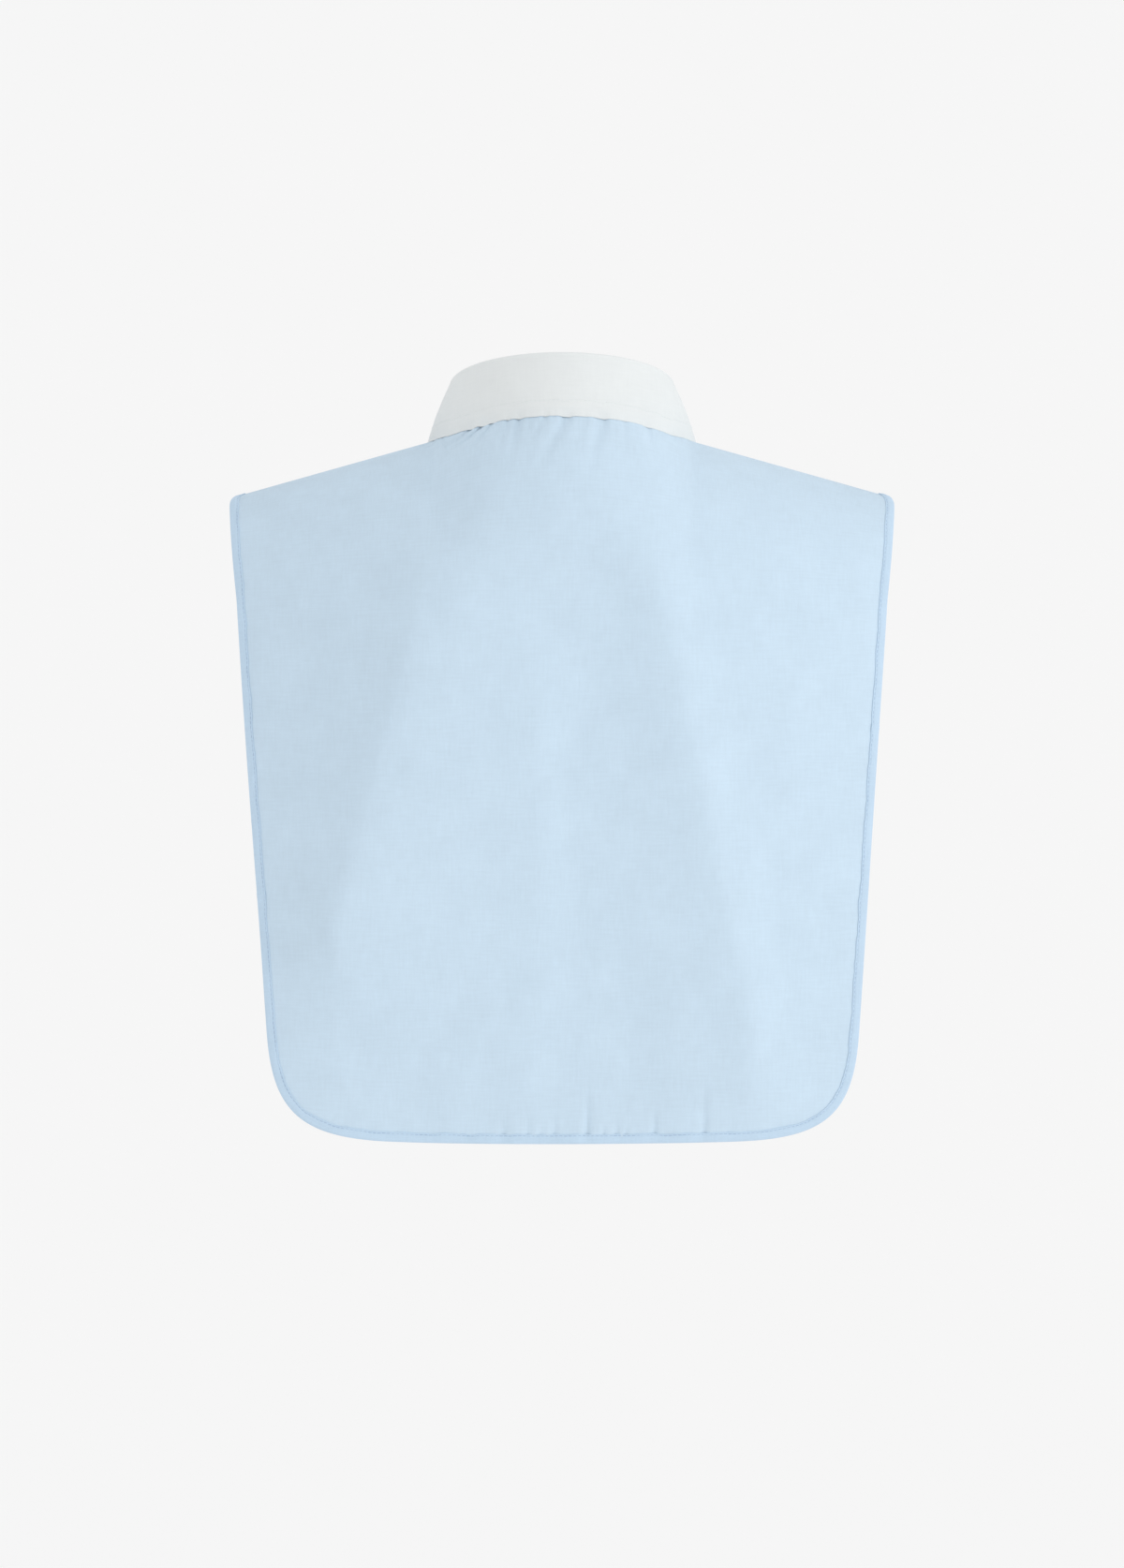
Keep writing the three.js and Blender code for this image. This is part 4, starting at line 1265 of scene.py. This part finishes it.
def add_stand(cloth, thread):
    end = math.radians(180 + STAND_OVERLAP_TURN)
    turn = -end + 2 * end * eased_shares(STAND_AROUND_STEPS, STAND_LENGTH, STAND_HALF)
    foot, top, outward = stand_lines(turn)
    rows = eased_shares(STAND_UP_STEPS, STAND_HEIGHT, STAND_HALF)
    points = foot[:, None] + (top - foot)[:, None] * rows[None, :, None]
    half = rounded_half(edge_distances(points), STAND_HALF)
    shape = closed_sheet(points[::-1], half[::-1])
    piece = add_piece("collar_stand_cloth", shape, cloth, "collar_cloth", "collar_stand")
    inside = slice(STAND_STITCH_ROW, -STAND_STITCH_ROW)
    line, facing = points[inside, STAND_STITCH_ROW], outward[inside]
    lines = [stitch_line(line + facing * (hand * STAND_HALF), facing * hand) for hand in (1, -1)]
    stitches = add_stitches("stand_stitches", lines, thread, "collar_cloth")


def fall_edge(turn):
    """The free edge of the fall at a turn: a smooth line through the table's rows."""
    mirrored = [(-degrees, -across, back, up) for degrees, across, back, up in FALL_EDGE[:0:-1]]
    rows = np.array(mirrored + FALL_EDGE, dtype=float)
    knots, values = np.radians(rows[:, 0]), rows[:, 1:]
    slopes = np.gradient(values, knots, axis=0)
    index = np.clip(np.searchsorted(knots, turn) - 1, 0, len(rows) - 2)
    width = (knots[index + 1] - knots[index])[:, None]
    t = (turn - knots[index])[:, None] / width
    return (
        values[index] * (2 * t**3 - 3 * t**2 + 1)
        + slopes[index] * width * (t**3 - 2 * t**2 + t)
        + values[index + 1] * (3 * t**2 - 2 * t**3)
        + slopes[index + 1] * width * (t**3 - t**2)
    )


def nearest_on_body(side, target):
    """Place of the smooth body's nearest point to each target."""
    x = target[:, 0]
    share = np.clip(np.abs(target[:, 1]) / body_depth(side, x), 0.0, 1.0)
    travel = np.maximum(side["drop"] * np.arcsin(share), SHOULDER_SEAM_INSET)
    for _ in range(NEAREST_ROUNDS):
        point = body_point(side, x, travel)
        miss = target - point
        along_x = unit(body_point(side, x + NORMAL_STEP, travel) - point)
        along_travel = unit(body_point(side, x, travel + NORMAL_STEP) - point)
        x = x + np.sum(miss * along_x, axis=-1)
        travel = travel + np.sum(miss * along_travel, axis=-1)
        travel = np.maximum(travel, SHOULDER_SEAM_INSET)
    return x, travel


def pressed_edge(turn, follows):
    """The free edge laid close on the bib, following a share of its relief, up to the collar's points."""
    edge = fall_edge(turn)
    shift = np.zeros_like(edge)
    tight = smooth_step(*FALL_EDGE_LIFT_TURNS, np.degrees(turn))
    lift = FALL_EDGE_LIFT[0] + (FALL_EDGE_LIFT[1] - FALL_EDGE_LIFT[0]) * tight
    for side in (BACK, FRONT):
        here = edge[:, 1] * side["sign"] > 0
        place = nearest_on_body(side, edge[here])
        outward = cloth_normal(side, *place, body_point)
        below = body_point(side, *place, follows * cloth_relief(side, *place))
        away = np.sum((edge[here] - below) * outward, axis=-1)
        closing = np.maximum(away - PANEL_HALF - lift[here], 0.0)
        shift[here] = outward * closing[:, None]
    pressed = 1.0 - smooth_step(*FALL_PRESSED, np.degrees(np.abs(turn)))
    return edge - shift * pressed[:, None]


def fall_points(turn):
    """Middle surface of the fall: up the lip, round the roll and down the leaf to the free edge."""
    outward = ring_outward(turn)[:, None]
    top = fold_point(turn)[:, None]
    up = np.array([0.0, 0.0, 1.0])
    roll_drop = FALL_THICKNESS / 2 + ROLL_RADIUS
    lip = top + up * ((LIP_DEPTH - roll_drop) * np.array(LIP_SHARES)[:, None] - LIP_DEPTH)
    angles = np.radians(np.linspace(180, 0, ROLL_STEPS))[:, None]
    roll = top + outward * ROLL_RADIUS * (1 + np.cos(angles))
    roll = roll + up * (ROLL_RADIUS * np.sin(angles) - roll_drop)
    leaf_top = roll[:, -1:]
    edge = pressed_edge(turn, 0.0)[:, None]
    wave = pressed_edge(turn, FALL_FOLLOWS)[:, None] - edge
    shares = leaf_shares()[None, :, None]
    leaf = leaf_top + (edge - leaf_top) * shares + wave * smooth_step(*FALL_WAVE_SHARES, shares)
    leaf = leaf + outward * leaf_relief(leaf_top, edge, shares)
    return np.concatenate([lip, roll, leaf], axis=1)


def leaf_shares():
    close = np.array(LEAF_EDGE_SHARES) * FALL_HALF / LEAF_LENGTH
    return np.concatenate([np.linspace(LEAF_START, 1 - close[-1], LEAF_STEPS), 1 - close[:-1][::-1]])


def leaf_relief(leaf_top, edge, shares):
    """Outward bulge of the leaf, its shallow hollow above the edge and the step at its inner seam."""
    length = np.linalg.norm(edge - leaf_top, axis=-1, keepdims=True)
    from_edge = (1 - shares) * length
    bulge = FALL_BULGE * 4 * shares * (1 - shares)
    hollow = -FALL_HOLLOW * bell(from_edge, FALL_STITCH_INSET, FALL_HOLLOW_WIDTH)
    seam = (FALL_STITCH_INSET - FALL_SEAM_EASE, FALL_STITCH_INSET + FALL_SEAM_EASE)
    step = FALL_SEAM_STEP * smooth_step(*seam, from_edge)
    return bulge + hollow + step * np.minimum(1.0, shares * FALL_SEAM_FADE)


def add_fall(cloth, thread):
    end = math.radians(FALL_END_TURN)
    turn = -end + 2 * end * eased_shares(FALL_AROUND_STEPS, FALL_LENGTH, FALL_HALF)
    points = fall_points(turn)
    from_edge = np.linalg.norm(points - points[:, -1:], axis=-1)
    full = FALL_EDGE_HALF + (FALL_HALF - FALL_EDGE_HALF) * smooth_step(*FALL_EDGE_TAPER, from_edge)
    half = rounded_half(edge_distances(points), full)
    shape = closed_sheet(points, half)
    piece = add_piece("collar_fall_cloth", shape, cloth, "collar_cloth", "collar_fall")
    stitches = add_stitches("collar_stitches", [fall_stitch_line(turn, points)], thread, "collar_cloth")


def fall_stitch_line(turn, points):
    """A line of stitches beside the free edge, that ends as far from both front ends of the fall."""
    normals = grid_normals(points)
    outside = points + normals * FALL_HALF
    down = lengths_along(points[:, ::-1], 1)
    first = np.searchsorted(lengths_along(points[:, -1]), FALL_STITCH_INSET) - 1
    last = len(turn) - first - 1
    rows = range(first, last + 1)
    columns = [points.shape[1] - 1 - np.searchsorted(down[i], FALL_STITCH_INSET) for i in rows]
    return stitch_line(outside[rows, columns], normals[rows, columns])


# Backdrop: a floor that curves up into a wall
def add_backdrop(material):
    angles = np.linspace(0, math.pi / 2, COVE_STEPS)
    cove_y = WALL_DEPTH + COVE_RADIUS * (1 - np.sin(angles))
    cove_z = FLOOR_HEIGHT + COVE_RADIUS * (1 - np.cos(angles))
    line = [(FLOOR_FRONT, FLOOR_HEIGHT), *zip(cove_y, cove_z), (WALL_DEPTH, WALL_TOP)]
    vertices = [(x, y, z) for y, z in line for x in (-FLOOR_HALF_WIDTH, FLOOR_HALF_WIDTH)]
    faces = [(2 * i, 2 * i + 1, 2 * i + 3, 2 * i + 2) for i in range(len(line) - 1)]
    backdrop = new_object("backdrop", np.array(vertices) / MM, faces, None, material)


def build():
    add_camera()
    set_world()
    add_light("key", **KEY)
    add_backdrop(backdrop_material())
    bib, binding, white = [cloth_material(name, **look) for name, look in CLOTHS.items()]
    # The blue thread's darker colour is partly painted shade of the stitch holes
    blue_thread_painted_shade = thread_material("blue_thread_painted_shade", THREAD_BLUE_WITH_PAINTED_SHADE)
    white_thread = thread_material("white_thread", THREAD_WHITE)
    grids = add_panels(bib)
    path = outer_edge(*[points for points, _ in grids])
    normals = outer_edge(*[outward for _, outward in grids])
    add_binding(path, normals, binding, blue_thread_painted_shade)
    add_closing(bib, blue_thread_painted_shade)
    add_stand(white, white_thread)
    add_fall(white, white_thread)
    add_buttons(button_material(), white_thread)


build()
